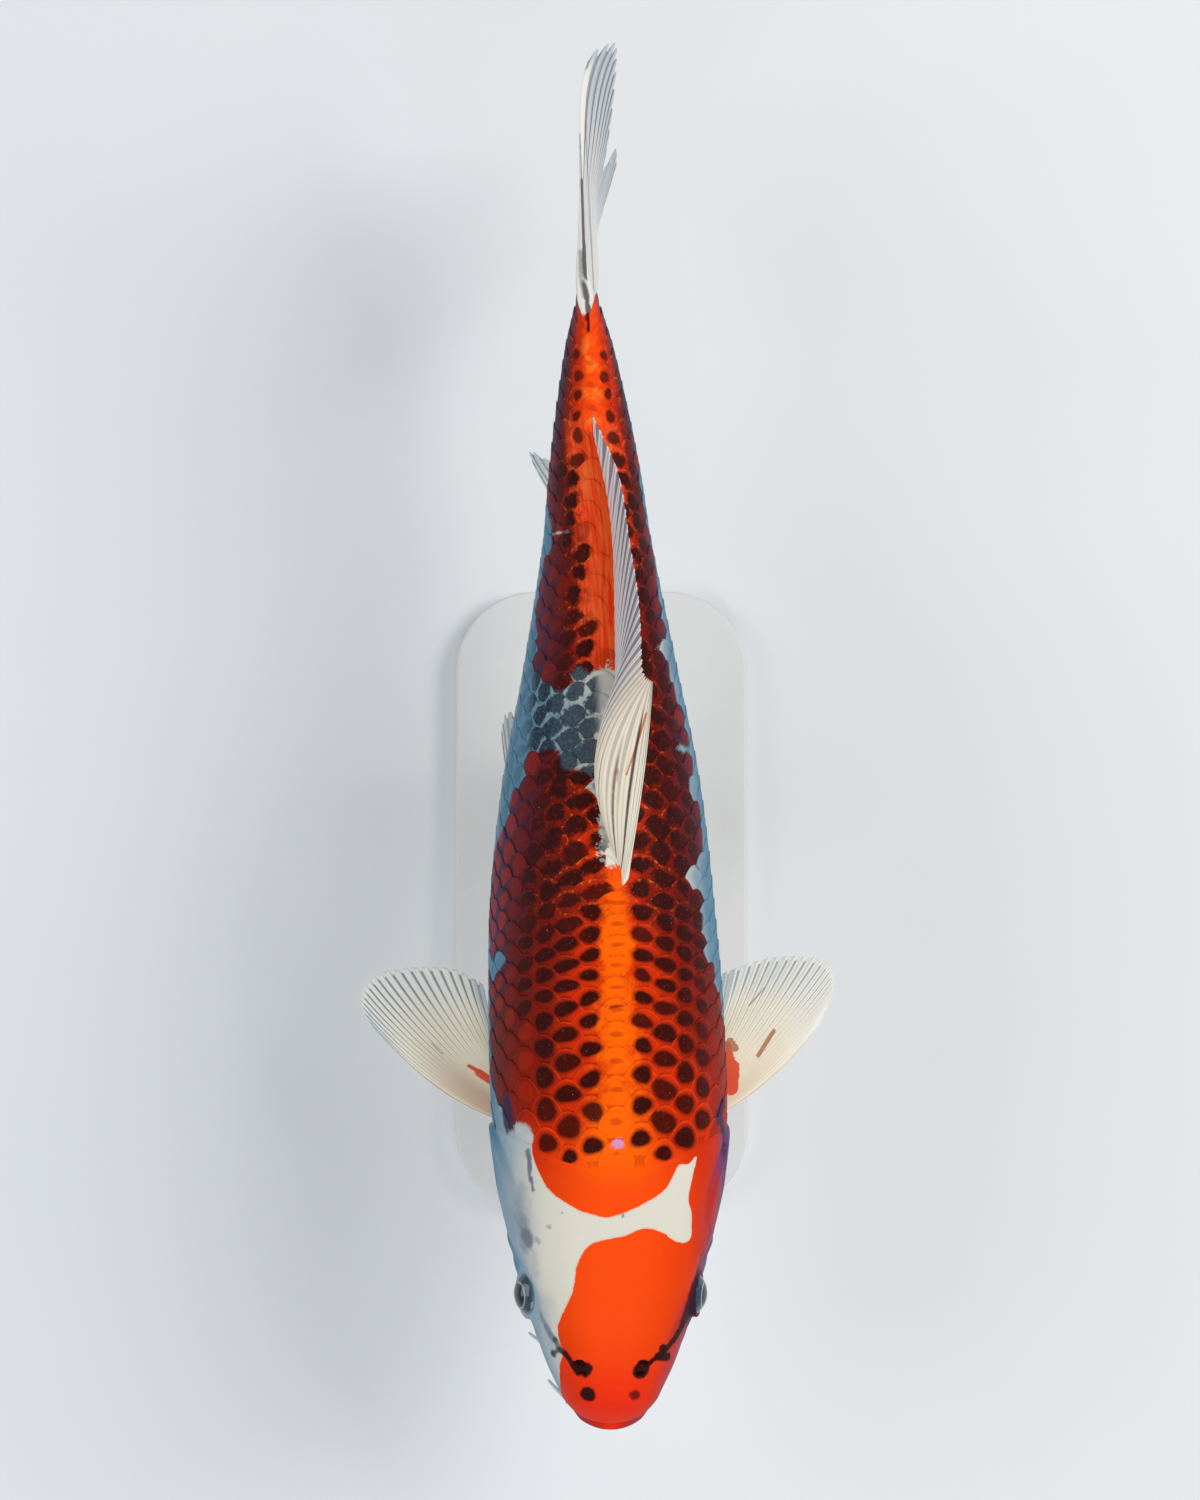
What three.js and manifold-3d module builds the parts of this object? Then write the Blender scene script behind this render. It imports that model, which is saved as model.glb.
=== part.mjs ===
// Koi carp, life size, swimming level, held over a flat display stand by two rods.
// Millimetres, +Z up. The fish looks along -Y, and its left side is +X.
// The origin is the centre of the stand's underside.
// Stations are distances from the tip of the snout towards the tail.
// Heights on the fish are measured from the long axis through mouth and tail base.

import * as THREE from "three";
import { mergeVertices } from "three/addons/utils/BufferGeometryUtils.js";
import Module from "manifold-3d";

const wasm = await Module();
wasm.setup();

// ---- driving dimensions ----

const SNOUT_SETBACK = 205;
const AXIS_HEIGHT = 132;
const GAP = 0.3;

const SNOUT_ROUND = 13;
const JAW_STATION = 15;
const HEAD_END = 108;
const TRUNK_SPLIT = 246;
const STEM_START = 356;
const STEM_END = 447;

const EYE_RADIUS = 8.8;
const EYE_STATION = 52.3;
const EYE_SIDE = 29.2;
const EYE_HEIGHT = 13.5;
const EYE_SEGMENTS = 16;
const EYE_RINGS = 10;
const EYE_BULGE = 2;
const EYE_BULGE_REACH = 9;

const GILL_CENTRE = { station: 92, height: -4 };
const GILL_TALL = 37;
const GILL_AHEAD = 17;
const GILL_BEHIND = 28;
const GILL_COVER_DEPTH = 27;
const GILL_COVER_RELIEF = 0.9;

const BASE_LENGTH = 264;
const BASE_WIDTH = 124;
const BASE_THICKNESS = 9;
const BASE_CORNER = 34;
const BASE_EDGE = 1.5;
const ROD_RADIUS = 4;
const ROD_DEPTH = 7;
const ROD_STATIONS = { front: 152, rear: 262 };
const ROD_SIDES = 24;

const RING_POINTS = 28;

// Half width, back height and belly depth of the body at a few stations.
const halfWidth = through([
  [0, 15.2], [11, 18.9], [27, 26], [51, 33.8], [75, 40.4], [107, 45.3], [130, 47.2],
  [170, 46.8], [210, 44.5], [258, 39], [305, 30], [353, 21.6], [378, 18.9], [401, 15.5],
  [430, 10], [440, 7.3], [447, 5.4],
]);
const backHeight = through([
  [0, 9], [14, 19.5], [34, 30.5], [64, 43.5], [100, 55], [140, 65], [185, 70.5], [218, 70],
  [262, 64.5], [310, 53.5], [352, 41.5], [388, 33], [418, 29.5], [447, 29.5],
]);
const bellyDepth = through([
  [0, 9], [14, 15], [34, 22], [64, 32.5], [100, 42.5], [145, 50], [190, 52], [235, 50],
  [285, 42.5], [330, 33.5], [365, 26.5], [400, 23], [425, 23], [447, 25],
]);
// Height of the widest level, sideways course of the axis and roll of the back towards +X.
const widestLevel = through([[0, -2], [60, 1], [140, 6], [300, 6], [447, 2.5]]);
const axisCourse = through([
  [0, 3.6], [110, 3.2], [170, 1.6], [210, 0.1], [300, -0.6], [370, -2.4], [447, -5.6],
]);
const rollDegrees = through([
  [0, 0], [80, 1.4], [113, 2.8], [145, 3.3], [175, 3.9], [210, 5.5], [240, 6.4], [290, 6.6], [350, 7],
  [375, 4], [400, 1], [447, 0],
]);
// Fullness of the section: 2 is an ellipse, more is squarer.
const fullnessAbove = through([[0, 2.2], [50, 2.7], [95, 2.5], [150, 2.2], [300, 2.1], [447, 2]]);
const fullnessBelow = through([[0, 2.2], [60, 2.5], [200, 2.35], [330, 2.1], [447, 2]]);

// ---- curves and the body surface ----

// A smooth function through a few [position, value] pairs.
function through(pairs) {
  const slope = (i) => {
    const before = pairs[Math.max(i - 1, 0)];
    const after = pairs[Math.min(i + 1, pairs.length - 1)];
    return (after[1] - before[1]) / (after[0] - before[0]);
  };
  return (position) => {
    const last = pairs.length - 2;
    const next = pairs.findIndex((pair) => pair[0] > position);
    const i = next < 0 ? last : Math.max(next - 1, 0);
    const [x0, y0] = pairs[i];
    const [x1, y1] = pairs[i + 1];
    const span = x1 - x0;
    const t = THREE.MathUtils.clamp((position - x0) / span, 0, 1);
    const rise = t * t * (3 - 2 * t);
    const leave = t * (1 - t) * (1 - t) * span * slope(i);
    const arrive = t * t * (t - 1) * span * slope(i + 1);
    return y0 + (y1 - y0) * rise + leave + arrive;
  };
}

// A point of the fish's own space: side, station and height.
function place(side, station, height) {
  return new THREE.Vector3(side, station - SNOUT_SETBACK, height + AXIS_HEIGHT);
}

function power(value, exponent) {
  return Math.sign(value) * Math.abs(value) ** exponent;
}

// The skin at a station and an angle round the body, with 0 on the left flank and a quarter turn
// on the back. Grow moves it outwards.
function skin(station, angle, grow = 0) {
  const ahead = Math.min(station / SNOUT_ROUND, 1);
  const taper = Math.sqrt(1 - (1 - ahead) ** 2);
  const level = widestLevel(station);
  const above = Math.sin(angle) >= 0;
  const fullness = above ? fullnessAbove(station) : fullnessBelow(station);
  const reach = above ? backHeight(station) - level : bellyDepth(station) + level;
  const side = power(Math.cos(angle), 2 / fullness) * (halfWidth(station) * taper + grow);
  const rise = power(Math.sin(angle), 2 / fullness) * (reach * taper + grow);
  const nearEye = ((station - EYE_STATION) ** 2 + (rise + level - EYE_HEIGHT) ** 2) / EYE_BULGE_REACH ** 2;
  const bulge = Math.sign(side) * EYE_BULGE * Math.exp(-nearEye);
  const roll = THREE.MathUtils.degToRad(rollDegrees(station));
  const across = (side + bulge) * Math.cos(roll) + rise * Math.sin(roll);
  const up = rise * Math.cos(roll) - side * Math.sin(roll);
  return place(axisCourse(station) + across, station, level + up);
}

function spaced(from, to, count) {
  return Array.from({ length: count + 1 }, (_, i) => from + ((to - from) * i) / count);
}

// ---- solids ----

function solid(points, triangles) {
  const vertProperties = new Float32Array(points.flatMap((point) => point.toArray()));
  const triVerts = new Uint32Array(triangles.flat());
  return new wasm.Manifold(new wasm.Mesh({ numProp: 3, vertProperties, triVerts }));
}

// The signed volume tells whether the triangles face outwards.
function outward(points, triangles) {
  const volume = triangles.reduce(
    (sum, [a, b, c]) => sum + points[a].dot(points[b].clone().cross(points[c])),
    0,
  );
  return volume > 0 ? triangles : triangles.map(([a, b, c]) => [a, c, b]);
}

// Joins rings of equally many points into a closed skin with a flat fan at each end.
function loft(rings) {
  const around = rings[0].length;
  const points = rings.flat();
  const triangles = [];
  for (let ring = 0; ring < rings.length - 1; ring += 1) {
    for (let i = 0; i < around; i += 1) {
      const here = ring * around + i;
      const beside = ring * around + ((i + 1) % around);
      triangles.push([here, beside, here + around], [beside, beside + around, here + around]);
    }
  }
  for (const [first, turn] of [[0, 1], [(rings.length - 1) * around, -1]]) {
    const centre = new THREE.Vector3();
    for (let i = 0; i < around; i += 1) {
      centre.addScaledVector(points[first + i], 1 / around);
    }
    points.push(centre);
    for (let i = 0; i < around; i += 1) {
      const next = first + ((i + 1) % around);
      const fan = [points.length - 1, next, first + i];
      triangles.push(turn > 0 ? fan : fan.reverse());
    }
  }
  return solid(points, outward(points, triangles));
}

// A length of the body between stations.
function bodyLength(from, to, count, grow = 0) {
  const angles = spaced(0, 2 * Math.PI, RING_POINTS).slice(0, -1);
  return loft(spaced(from, to, count).map((station) => angles.map((angle) => skin(station, angle, grow))));
}

// A thin solid round the middle surface at(u, v), with v running from root to margin.
function blade(at, thicknessAt, columns, rows) {
  const points = [];
  const step = 0.01;
  for (const face of [0.5, -0.5]) {
    for (const u of spaced(0, 1, columns)) {
      for (const v of spaced(0, 1, rows)) {
        const along = at(Math.min(u + step, 1), v).sub(at(Math.max(u - step, 0), v));
        const out = at(u, Math.min(v + step, 1)).sub(at(u, Math.max(v - step, 0)));
        const normal = along.cross(out).normalize();
        points.push(at(u, v).addScaledVector(normal, face * thicknessAt(u, v)));
      }
    }
  }
  const under = (columns + 1) * (rows + 1);
  const index = (column, row) => column * (rows + 1) + row;
  const triangles = [];
  const rim = [];
  for (let column = 0; column < columns; column += 1) {
    for (let row = 0; row < rows; row += 1) {
      const [a, b] = [index(column, row), index(column + 1, row)];
      const [c, d] = [index(column + 1, row + 1), index(column, row + 1)];
      triangles.push([a, b, c], [a, c, d]);
      triangles.push([a + under, c + under, b + under], [a + under, d + under, c + under]);
    }
    rim.push([index(column + 1, 0), index(column, 0)], [index(column, rows), index(column + 1, rows)]);
  }
  for (let row = 0; row < rows; row += 1) {
    rim.push([index(0, row), index(0, row + 1)], [index(columns, row + 1), index(columns, row)]);
  }
  for (const [from, to] of rim) {
    triangles.push([from, to, to + under], [from, to + under, from + under]);
  }
  return solid(points, outward(points, triangles));
}

// A round feeler that tapers along a curve.
function feeler(curve, rootRadius, tipRadius, steps, sides) {
  const frames = curve.computeFrenetFrames(steps);
  const rings = spaced(0, 1, steps).map((t, i) => {
    const radius = rootRadius + (tipRadius - rootRadius) * t;
    return spaced(0, 2 * Math.PI, sides).slice(0, -1).map((angle) =>
      curve.getPointAt(t)
        .addScaledVector(frames.normals[i], radius * Math.cos(angle))
        .addScaledVector(frames.binormals[i], radius * Math.sin(angle)),
    );
  });
  return loft(rings);
}

function fromGeometry(geometry) {
  geometry.deleteAttribute("normal");
  geometry.deleteAttribute("uv");
  const bare = mergeVertices(geometry);
  return new wasm.Manifold(
    new wasm.Mesh({
      numProp: 3,
      vertProperties: new Float32Array(bare.attributes.position.array),
      triVerts: new Uint32Array(bare.index.array),
    }),
  );
}

function ball(centre, radius) {
  const globe = new THREE.SphereGeometry(radius, EYE_SEGMENTS, EYE_RINGS);
  return fromGeometry(globe.translate(centre.x, centre.y, centre.z));
}

function upright(x, y, bottom, top, radius) {
  const post = new THREE.CylinderGeometry(radius, radius, top - bottom, ROD_SIDES);
  post.rotateX(Math.PI / 2);
  post.translate(x, y, (bottom + top) / 2);
  return fromGeometry(post);
}

// ---- jaws ----

const MOUTH_SLOPE = 0.42;
const MOUTH_HEIGHT = -4.5;
const LOWER_JAW_SETBACK = 2.4;

// A wedge of space above or below the sloping cleft of the mouth.
function mouthSide(above) {
  const far = 90;
  const lift = above ? GAP / 2 : -GAP / 2;
  const front = MOUTH_HEIGHT + lift + MOUTH_SLOPE * 20;
  const back = MOUTH_HEIGHT + lift - MOUTH_SLOPE * 60;
  const edge = above ? far : -far;
  const outline = [[-20, front], [60, back], [60, edge], [-20, edge]];
  const rings = [-far, far].map((side) => outline.map(([station, height]) => place(side, station, height)));
  return loft(rings);
}

function upperJaw() {
  return bodyLength(0.4, JAW_STATION - GAP / 2, 7).intersect(mouthSide(true));
}

function lowerJaw() {
  const angles = spaced(0, 2 * Math.PI, RING_POINTS).slice(0, -1);
  const rings = spaced(0.4, JAW_STATION - GAP / 2, 7).map((station) => {
    const pulled = LOWER_JAW_SETBACK * (1 - station / JAW_STATION);
    return angles.map((angle) => skin(station, angle).add(new THREE.Vector3(0, pulled, 0)));
  });
  return loft(rings).intersect(mouthSide(false));
}

// ---- gill covers ----

// The cover's outline from the side: a rounded plate behind the cheek.
function gillOutline(grow) {
  const corners = spaced(0, 2 * Math.PI, 30).slice(0, -1).map((angle) => {
    const reach = (Math.cos(angle) > 0 ? GILL_BEHIND : GILL_AHEAD) + grow;
    const station = GILL_CENTRE.station + reach * power(Math.cos(angle), 0.9);
    const height = GILL_CENTRE.height + (GILL_TALL + grow) * power(Math.sin(angle), 0.85);
    const at = place(0, station, height);
    return new THREE.Vector2(at.y, at.z);
  });
  return new THREE.Shape(corners);
}

function gillBlock(side, grow) {
  const length = 40 + grow;
  const inner = GILL_COVER_DEPTH - grow;
  const block = new THREE.ExtrudeGeometry(gillOutline(grow), { depth: length, bevelEnabled: false });
  block.rotateY(Math.PI / 2);
  block.rotateX(Math.PI / 2);
  block.translate(axisCourse(GILL_CENTRE.station) + (side > 0 ? inner : -inner - length), 0, 0);
  return fromGeometry(block);
}

// ---- fins ----

// Fin rays run from the root edge to the margin, bowed by a sideways offset.
function fanSurface(root, margin, bow) {
  return (u, v) => {
    const from = root.getPoint(u);
    const to = margin.getPoint(u);
    const middle = from.clone().lerp(to, 0.5).add(bow(u));
    return new THREE.QuadraticBezierCurve3(from, middle, to).getPoint(v);
  };
}

function edge(points) {
  return new THREE.CatmullRomCurve3(points.map(([side, station, height]) => place(side, station, height)));
}

function finThickness(root, margin) {
  return (u, v) => margin + (root - margin) * (1 - v) ** 2 * (1 - 0.45 * u);
}

const FINS = {
  pectoral_fin_right: {
    root: [[-34, 117, -24], [-35, 124, -30], [-34, 131, -35]],
    margin: [
      [-93, 156, -45], [-98, 165, -45], [-97.4, 173, -44.5], [-90, 179, -44], [-76, 181.2, -43],
      [-61, 180.5, -41.5], [-48, 174, -41],
    ],
    bow: [[0, [-3, -11, 3]], [1, [-4, 1, 2]]],
    thickness: [5, 0.9],
    grid: [12, 6],
  },
  pectoral_fin_left: {
    root: [[38, 117, -24], [39, 124, -30], [38, 131, -35]],
    margin: [
      [89.5, 158.5, -45], [94.6, 169, -45], [95.4, 177, -44.5], [91, 183.8, -44], [78, 185.8, -43],
      [64, 184, -42], [49, 178.5, -41],
    ],
    bow: [[0, [3, -9, 3]], [1, [3, 2, 2]]],
    thickness: [5, 0.9],
    grid: [12, 6],
  },
  pelvic_fin_right: {
    root: [[-25, 216, -40], [-21, 221, -43], [-16, 226, -45]],
    margin: [[-41, 276, -53], [-39, 285, -54], [-29, 284, -55], [-20, 274, -56]],
    bow: [[0, [-7, 0, 0]], [1, [-1, 0, 0]]],
    thickness: [4.4, 0.9],
    grid: [8, 5],
  },
  pelvic_fin_left: {
    root: [[24, 216, -40], [20, 221, -43], [15, 226, -45]],
    margin: [[33.5, 280, -54], [31, 287, -55], [23.5, 284, -56], [16, 275, -57]],
    bow: [[0, [6, 0, 0]], [1, [1, 0, 0]]],
    thickness: [4.4, 0.9],
    grid: [8, 5],
  },
  anal_fin: {
    root: [[-2, 344, -22], [-2.5, 358, -20], [-3, 373, -17]],
    margin: [[-27.5, 387, -65], [-29.5, 393, -61], [-23, 389, -50], [-15, 386, -38], [-8, 384, -29]],
    bow: [[0, [-1, -3, -5]], [1, [0, 0, -1]]],
    thickness: [4.4, 0.9],
    grid: [8, 5],
  },
  dorsal_fin: {
    root: [[8.8, 216, 66.5], [6.4, 238, 62], [5, 266, 56], [5, 305, 47], [3.6, 355, 34], [-2.6, 392, 26]],
    margin: [
      [19.6, 296, 81], [16, 301, 80], [14.5, 326, 73], [10.6, 352, 64], [6.2, 377, 52], [-3.8, 400, 42],
    ],
    bow: [
      [0, [1, 0, 6]], [0.05, [-5, 0, 7]], [0.12, [-25, 0, 8]], [0.25, [-23, 0, 7]], [0.4, [-7, 0, 5]],
      [0.6, [-1, 0, 4]], [1, [0, 0, 2]],
    ],
    thickness: [5, 0.9],
    grid: [18, 6],
  },
};

function bowOffset(bows) {
  const parts = [0, 1, 2].map((axis) => through(bows.map(([u, offset]) => [u, offset[axis]])));
  return (u) => new THREE.Vector3(...parts.map((part) => part(u)));
}

function fanFin({ root, margin, bow, thickness, grid }) {
  const at = fanSurface(edge(root), edge(margin), bowOffset(bow));
  return blade(at, finThickness(...thickness), ...grid);
}

// The forked tail fin: upper edge, fork and lower edge run from the tail base to the margin.
const TAIL_ROOT_THICKNESS = 9;
const TAIL_MARGIN_THICKNESS = 0.9;
const FORK = 0.5;
const FORK_CUT = 0.003;
const tailSide = {
  upper: through([[447, -6.4], [456, -8], [466, -8.2], [507, -8.4], [523, -7.8], [534, -5], [542, 0]]),
  middle: through([
    [447, -5.6], [453, -3.4], [460, -2.2], [490, -1.8], [500, 0.2], [512, 3], [527, 7], [542, 12],
  ]),
  lower: through([[447, -5.6], [458, -6.8], [472, -5.2], [490, 0], [508, 5.4], [519, 7.6], [542, 9]]),
};
const TAIL_TWIST = 2.2;

// Station and height of the margin from the upper tip through the fork to the lower tip.
const tailMargin = new THREE.CatmullRomCurve3(
  [
    [537, 74], [542, 67], [538, 52], [527, 34], [512, 15], [501, 0],
    [502, -14], [508, -33], [515, -51], [518, -63], [512, -70],
  ].map(([station, height]) => new THREE.Vector3(0, station, height)),
);
const tailRoot = through([[0, 28], [0.1, 23], [0.5, 2], [0.9, -19], [1, -23]]);

function tailSurface(from, to) {
  return (u, v) => {
    const share = from + (to - from) * u;
    const end = tailMargin.getPoint(share);
    const splay = Math.sin((Math.PI * v) / 2) * 0.35 + v * 0.65;
    const station = STEM_END + GAP + (end.y - STEM_END) * v;
    const height = tailRoot(share) + (end.z - tailRoot(share)) * splay;
    const tilt = Math.abs(1 - 2 * share) ** TAIL_TWIST;
    const edgeSide = share < FORK ? tailSide.upper(station) : tailSide.lower(station);
    const side = THREE.MathUtils.lerp(tailSide.middle(station), edgeSide, tilt);
    return place(side, station, height);
  };
}

function tailLobe(from, to) {
  const thickness = (u, v) =>
    TAIL_MARGIN_THICKNESS + (TAIL_ROOT_THICKNESS - TAIL_MARGIN_THICKNESS) * Math.exp(-v * 7) * (1 - v);
  return blade(tailSurface(from, to), thickness, 9, 8);
}

// ---- barbels ----

const BARBELS = {
  barbel_upper: {
    path: [[16.5, 9.5, -7], [19.5, 11.5, -9.5], [22.5, 14, -12], [25, 16.5, -14]],
    radii: [1.1, 0.5],
  },
  barbel_corner: {
    path: [[15.5, 15, -13.5], [20, 21, -19], [26, 28.5, -23], [33, 34, -25.5]],
    radii: [1.3, 0.5],
  },
};

function barbel({ path, radii }, side) {
  const spot = ([out, station, height]) => place(axisCourse(station) + side * out, station, height);
  const points = path.map(spot);
  return feeler(new THREE.CatmullRomCurve3(points), ...radii, 8, 8);
}

// ---- stand ----

function standBase() {
  const outline = new THREE.Shape();
  const halfX = BASE_WIDTH / 2 - BASE_EDGE;
  const halfY = BASE_LENGTH / 2 - BASE_EDGE;
  const corner = BASE_CORNER - BASE_EDGE;
  outline.moveTo(halfX, -halfY + corner);
  outline.lineTo(halfX, halfY - corner);
  outline.absarc(halfX - corner, halfY - corner, corner, 0, Math.PI / 2);
  outline.absarc(-halfX + corner, halfY - corner, corner, Math.PI / 2, Math.PI);
  outline.absarc(-halfX + corner, -halfY + corner, corner, Math.PI, 1.5 * Math.PI);
  outline.absarc(halfX - corner, -halfY + corner, corner, 1.5 * Math.PI, 2 * Math.PI);
  const plate = new THREE.ExtrudeGeometry(outline, {
    depth: BASE_THICKNESS - 2 * BASE_EDGE,
    bevelThickness: BASE_EDGE,
    bevelSize: BASE_EDGE,
    bevelSegments: 1,
    curveSegments: 6,
  });
  plate.translate(0, 0, BASE_EDGE);
  return fromGeometry(plate);
}

function rodPlace(station) {
  const roll = THREE.MathUtils.degToRad(rollDegrees(station));
  const bottom = skin(station, -Math.PI / 2);
  return { x: bottom.x + Math.sin(roll), y: bottom.y, top: bottom.z + ROD_DEPTH };
}

function rod(station, grow = 0) {
  const { x, y, top } = rodPlace(station);
  return upright(x, y, BASE_THICKNESS - grow, top + grow, ROD_RADIUS + grow);
}

// ---- assembly ----

const COLOURS = {
  skinRed: new THREE.MeshStandardMaterial({ color: 0xd4430f, roughness: 0.35, metalness: 0 }),
  skinDark: new THREE.MeshStandardMaterial({ color: 0x8a2418, roughness: 0.35, metalness: 0 }),
  skinWhite: new THREE.MeshStandardMaterial({ color: 0xdcdccf, roughness: 0.35, metalness: 0 }),
  fin: new THREE.MeshStandardMaterial({ color: 0xe4dccb, roughness: 0.4, metalness: 0 }),
  eye: new THREE.MeshStandardMaterial({ color: 0x1a1614, roughness: 0.1, metalness: 0 }),
  plate: new THREE.MeshStandardMaterial({ color: 0xc9c9c4, roughness: 0.5, metalness: 0 }),
  steel: new THREE.MeshStandardMaterial({ color: 0xb8bbbf, roughness: 0.3, metalness: 1 }),
};

const koi = new THREE.Group();

function node(name, made, material) {
  const mesh = made.getMesh();
  const geometry = new THREE.BufferGeometry();
  geometry.setAttribute("position", new THREE.BufferAttribute(new Float32Array(mesh.vertProperties), 3));
  geometry.setIndex(new THREE.BufferAttribute(new Uint32Array(mesh.triVerts), 1));
  geometry.computeVertexNormals();
  const piece = new THREE.Mesh(geometry, material);
  piece.name = name;
  koi.add(piece);
}

const SIDES = { right: -1, left: 1 };
const body = bodyLength(0.4, STEM_END, 44, GAP);
const rods = { front: rod(ROD_STATIONS.front), rear: rod(ROD_STATIONS.rear) };

let head = bodyLength(JAW_STATION + GAP / 2, HEAD_END - GAP / 2, 13);
let trunkFront = bodyLength(HEAD_END + GAP / 2, TRUNK_SPLIT - GAP / 2, 12);
trunkFront = trunkFront.subtract(rod(ROD_STATIONS.front, GAP));
const rearLength = bodyLength(TRUNK_SPLIT + GAP / 2, STEM_START - GAP / 2, 9);
const trunkRear = rearLength.subtract(rod(ROD_STATIONS.rear, GAP));

for (const [name, side] of Object.entries(SIDES)) {
  const eyeCentre = place(axisCourse(EYE_STATION) + side * EYE_SIDE, EYE_STATION, EYE_HEIGHT);
  node(`eye_${name}`, ball(eyeCentre, EYE_RADIUS), COLOURS.eye);
  head = head.subtract(ball(eyeCentre, EYE_RADIUS + GAP));

  const cover = bodyLength(60, 130, 14, GILL_COVER_RELIEF).intersect(gillBlock(side, 0));
  const recess = gillBlock(side, GAP);
  node(`gill_cover_${name}`, cover, COLOURS.skinWhite);
  head = head.subtract(recess);
  trunkFront = trunkFront.subtract(recess);

  for (const [kind, shape] of Object.entries(BARBELS)) {
    node(`${kind}_${name}`, barbel(shape, side).subtract(body), COLOURS.skinRed);
  }
}

node("upper_jaw", upperJaw(), COLOURS.skinRed);
node("lower_jaw", lowerJaw(), COLOURS.skinWhite);
node("head", head, COLOURS.skinRed);
node("trunk_front", trunkFront, COLOURS.skinDark);
node("trunk_rear", trunkRear, COLOURS.skinRed);
node("tail_stem", bodyLength(STEM_START + GAP / 2, STEM_END, 7), COLOURS.skinDark);

for (const [name, fin] of Object.entries(FINS)) {
  node(name, fanFin(fin).subtract(body), COLOURS.fin);
}
node("caudal_fin_upper", tailLobe(0, FORK - FORK_CUT).subtract(body), COLOURS.fin);
node("caudal_fin_lower", tailLobe(FORK + FORK_CUT, 1).subtract(body), COLOURS.fin);

node("stand_base", standBase(), COLOURS.plate);
node("stand_rod_front", rods.front, COLOURS.steel);
node("stand_rod_rear", rods.rear, COLOURS.steel);

export default koi;
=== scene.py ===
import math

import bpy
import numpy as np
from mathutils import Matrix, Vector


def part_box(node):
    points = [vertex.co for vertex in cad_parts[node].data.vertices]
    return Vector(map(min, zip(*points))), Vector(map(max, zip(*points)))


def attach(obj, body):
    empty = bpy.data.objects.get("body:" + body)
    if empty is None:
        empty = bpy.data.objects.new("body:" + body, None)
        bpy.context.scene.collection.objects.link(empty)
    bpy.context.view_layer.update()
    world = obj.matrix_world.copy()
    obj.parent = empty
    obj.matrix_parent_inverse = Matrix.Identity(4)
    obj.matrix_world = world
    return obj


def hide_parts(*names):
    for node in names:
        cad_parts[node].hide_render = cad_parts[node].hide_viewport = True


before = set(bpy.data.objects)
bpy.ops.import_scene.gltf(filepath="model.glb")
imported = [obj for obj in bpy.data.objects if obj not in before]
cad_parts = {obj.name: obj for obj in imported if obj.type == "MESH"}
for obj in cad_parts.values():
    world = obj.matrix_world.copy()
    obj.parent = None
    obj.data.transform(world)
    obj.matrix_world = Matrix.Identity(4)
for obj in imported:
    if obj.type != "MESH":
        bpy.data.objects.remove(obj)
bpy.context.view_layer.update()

# A koi carp, life size, over its display stand: one scaled skin, rayed fins, eyes, feelers and the stand.
# The shapes are worked out in millimetres on the fish and placed in metres. Stations are distances
# from the tip of the snout, and arcs are distances round the body from the middle of the back,
# positive on the fish's left.

MM = 0.001

# ---- where the fish is, from the frame ----

EYE_STATION = 52.3
EYE_HEIGHT = 13.5
BODY_END = 447


def box_centre(node):
    low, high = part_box(node)
    return (Vector(low) + Vector(high)) / 2


EYES = {side: box_centre(f"eye_{side}") for side in ("right", "left")}
EYE_RADIUS = (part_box("eye_left")[1][2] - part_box("eye_left")[0][2]) / 2 / MM
SNOUT_Y = EYES["left"].y / MM - EYE_STATION
AXIS_Z = EYES["left"].z / MM - EYE_HEIGHT


def place(points):
    """Fish space (side, station, height) in millimetres to metres in the row frame."""
    points = np.asarray(points, float)
    return (points + np.array([0, SNOUT_Y, AXIS_Z])) * MM


# ---- curves ----


def through(pairs):
    """A smooth function through a few (position, value) pairs."""
    at = np.array([pair[0] for pair in pairs], float)
    value = np.array([pair[1] for pair in pairs], float)
    index = np.arange(len(at))
    before = np.maximum(index - 1, 0)
    after = np.minimum(index + 1, len(at) - 1)
    slope = (value[after] - value[before]) / (at[after] - at[before])

    def curve(x):
        x = np.clip(np.asarray(x, float), at[0], at[-1])
        i = np.clip(np.searchsorted(at, x, side="right") - 1, 0, len(at) - 2)
        span = at[i + 1] - at[i]
        t = (x - at[i]) / span
        rise = t * t * (3 - 2 * t)
        leave = t * (1 - t) ** 2 * span * slope[i]
        arrive = t * t * (t - 1) * span * slope[i + 1]
        return value[i] + (value[i + 1] - value[i]) * rise + leave + arrive

    return curve


def smooth_line(points, steps=6, closed=True):
    """A Catmull-Rom line through points, as an array."""
    points = np.asarray(points, float)
    count = len(points)
    spans = count if closed else count - 1
    made = []
    for i in range(spans):
        if closed:
            p0, p1, p2, p3 = (points[(i + k) % count] for k in (-1, 0, 1, 2))
        else:
            p0, p1, p2, p3 = (points[min(max(i + k, 0), count - 1)] for k in (-1, 0, 1, 2))
        for t in np.arange(steps) / steps:
            made.append(
                0.5 * (2 * p1 + (p2 - p0) * t + (2 * p0 - 5 * p1 + 4 * p2 - p3) * t * t
                       + (3 * p1 - p0 - 3 * p2 + p3) * t ** 3)
            )
    if not closed:
        made.append(points[-1])
    return np.array(made)


def step(low, high, x):
    t = np.clip((np.asarray(x, float) - low) / (high - low), 0, 1)
    return t * t * (3 - 2 * t)


def hill(x, width):
    return np.exp(-((np.asarray(x, float) / width) ** 2))


# ---- the body surface, as in the solids ----

SNOUT_ROUND = 13
EYE_BULGE = 2
EYE_BULGE_REACH = 9

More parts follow.
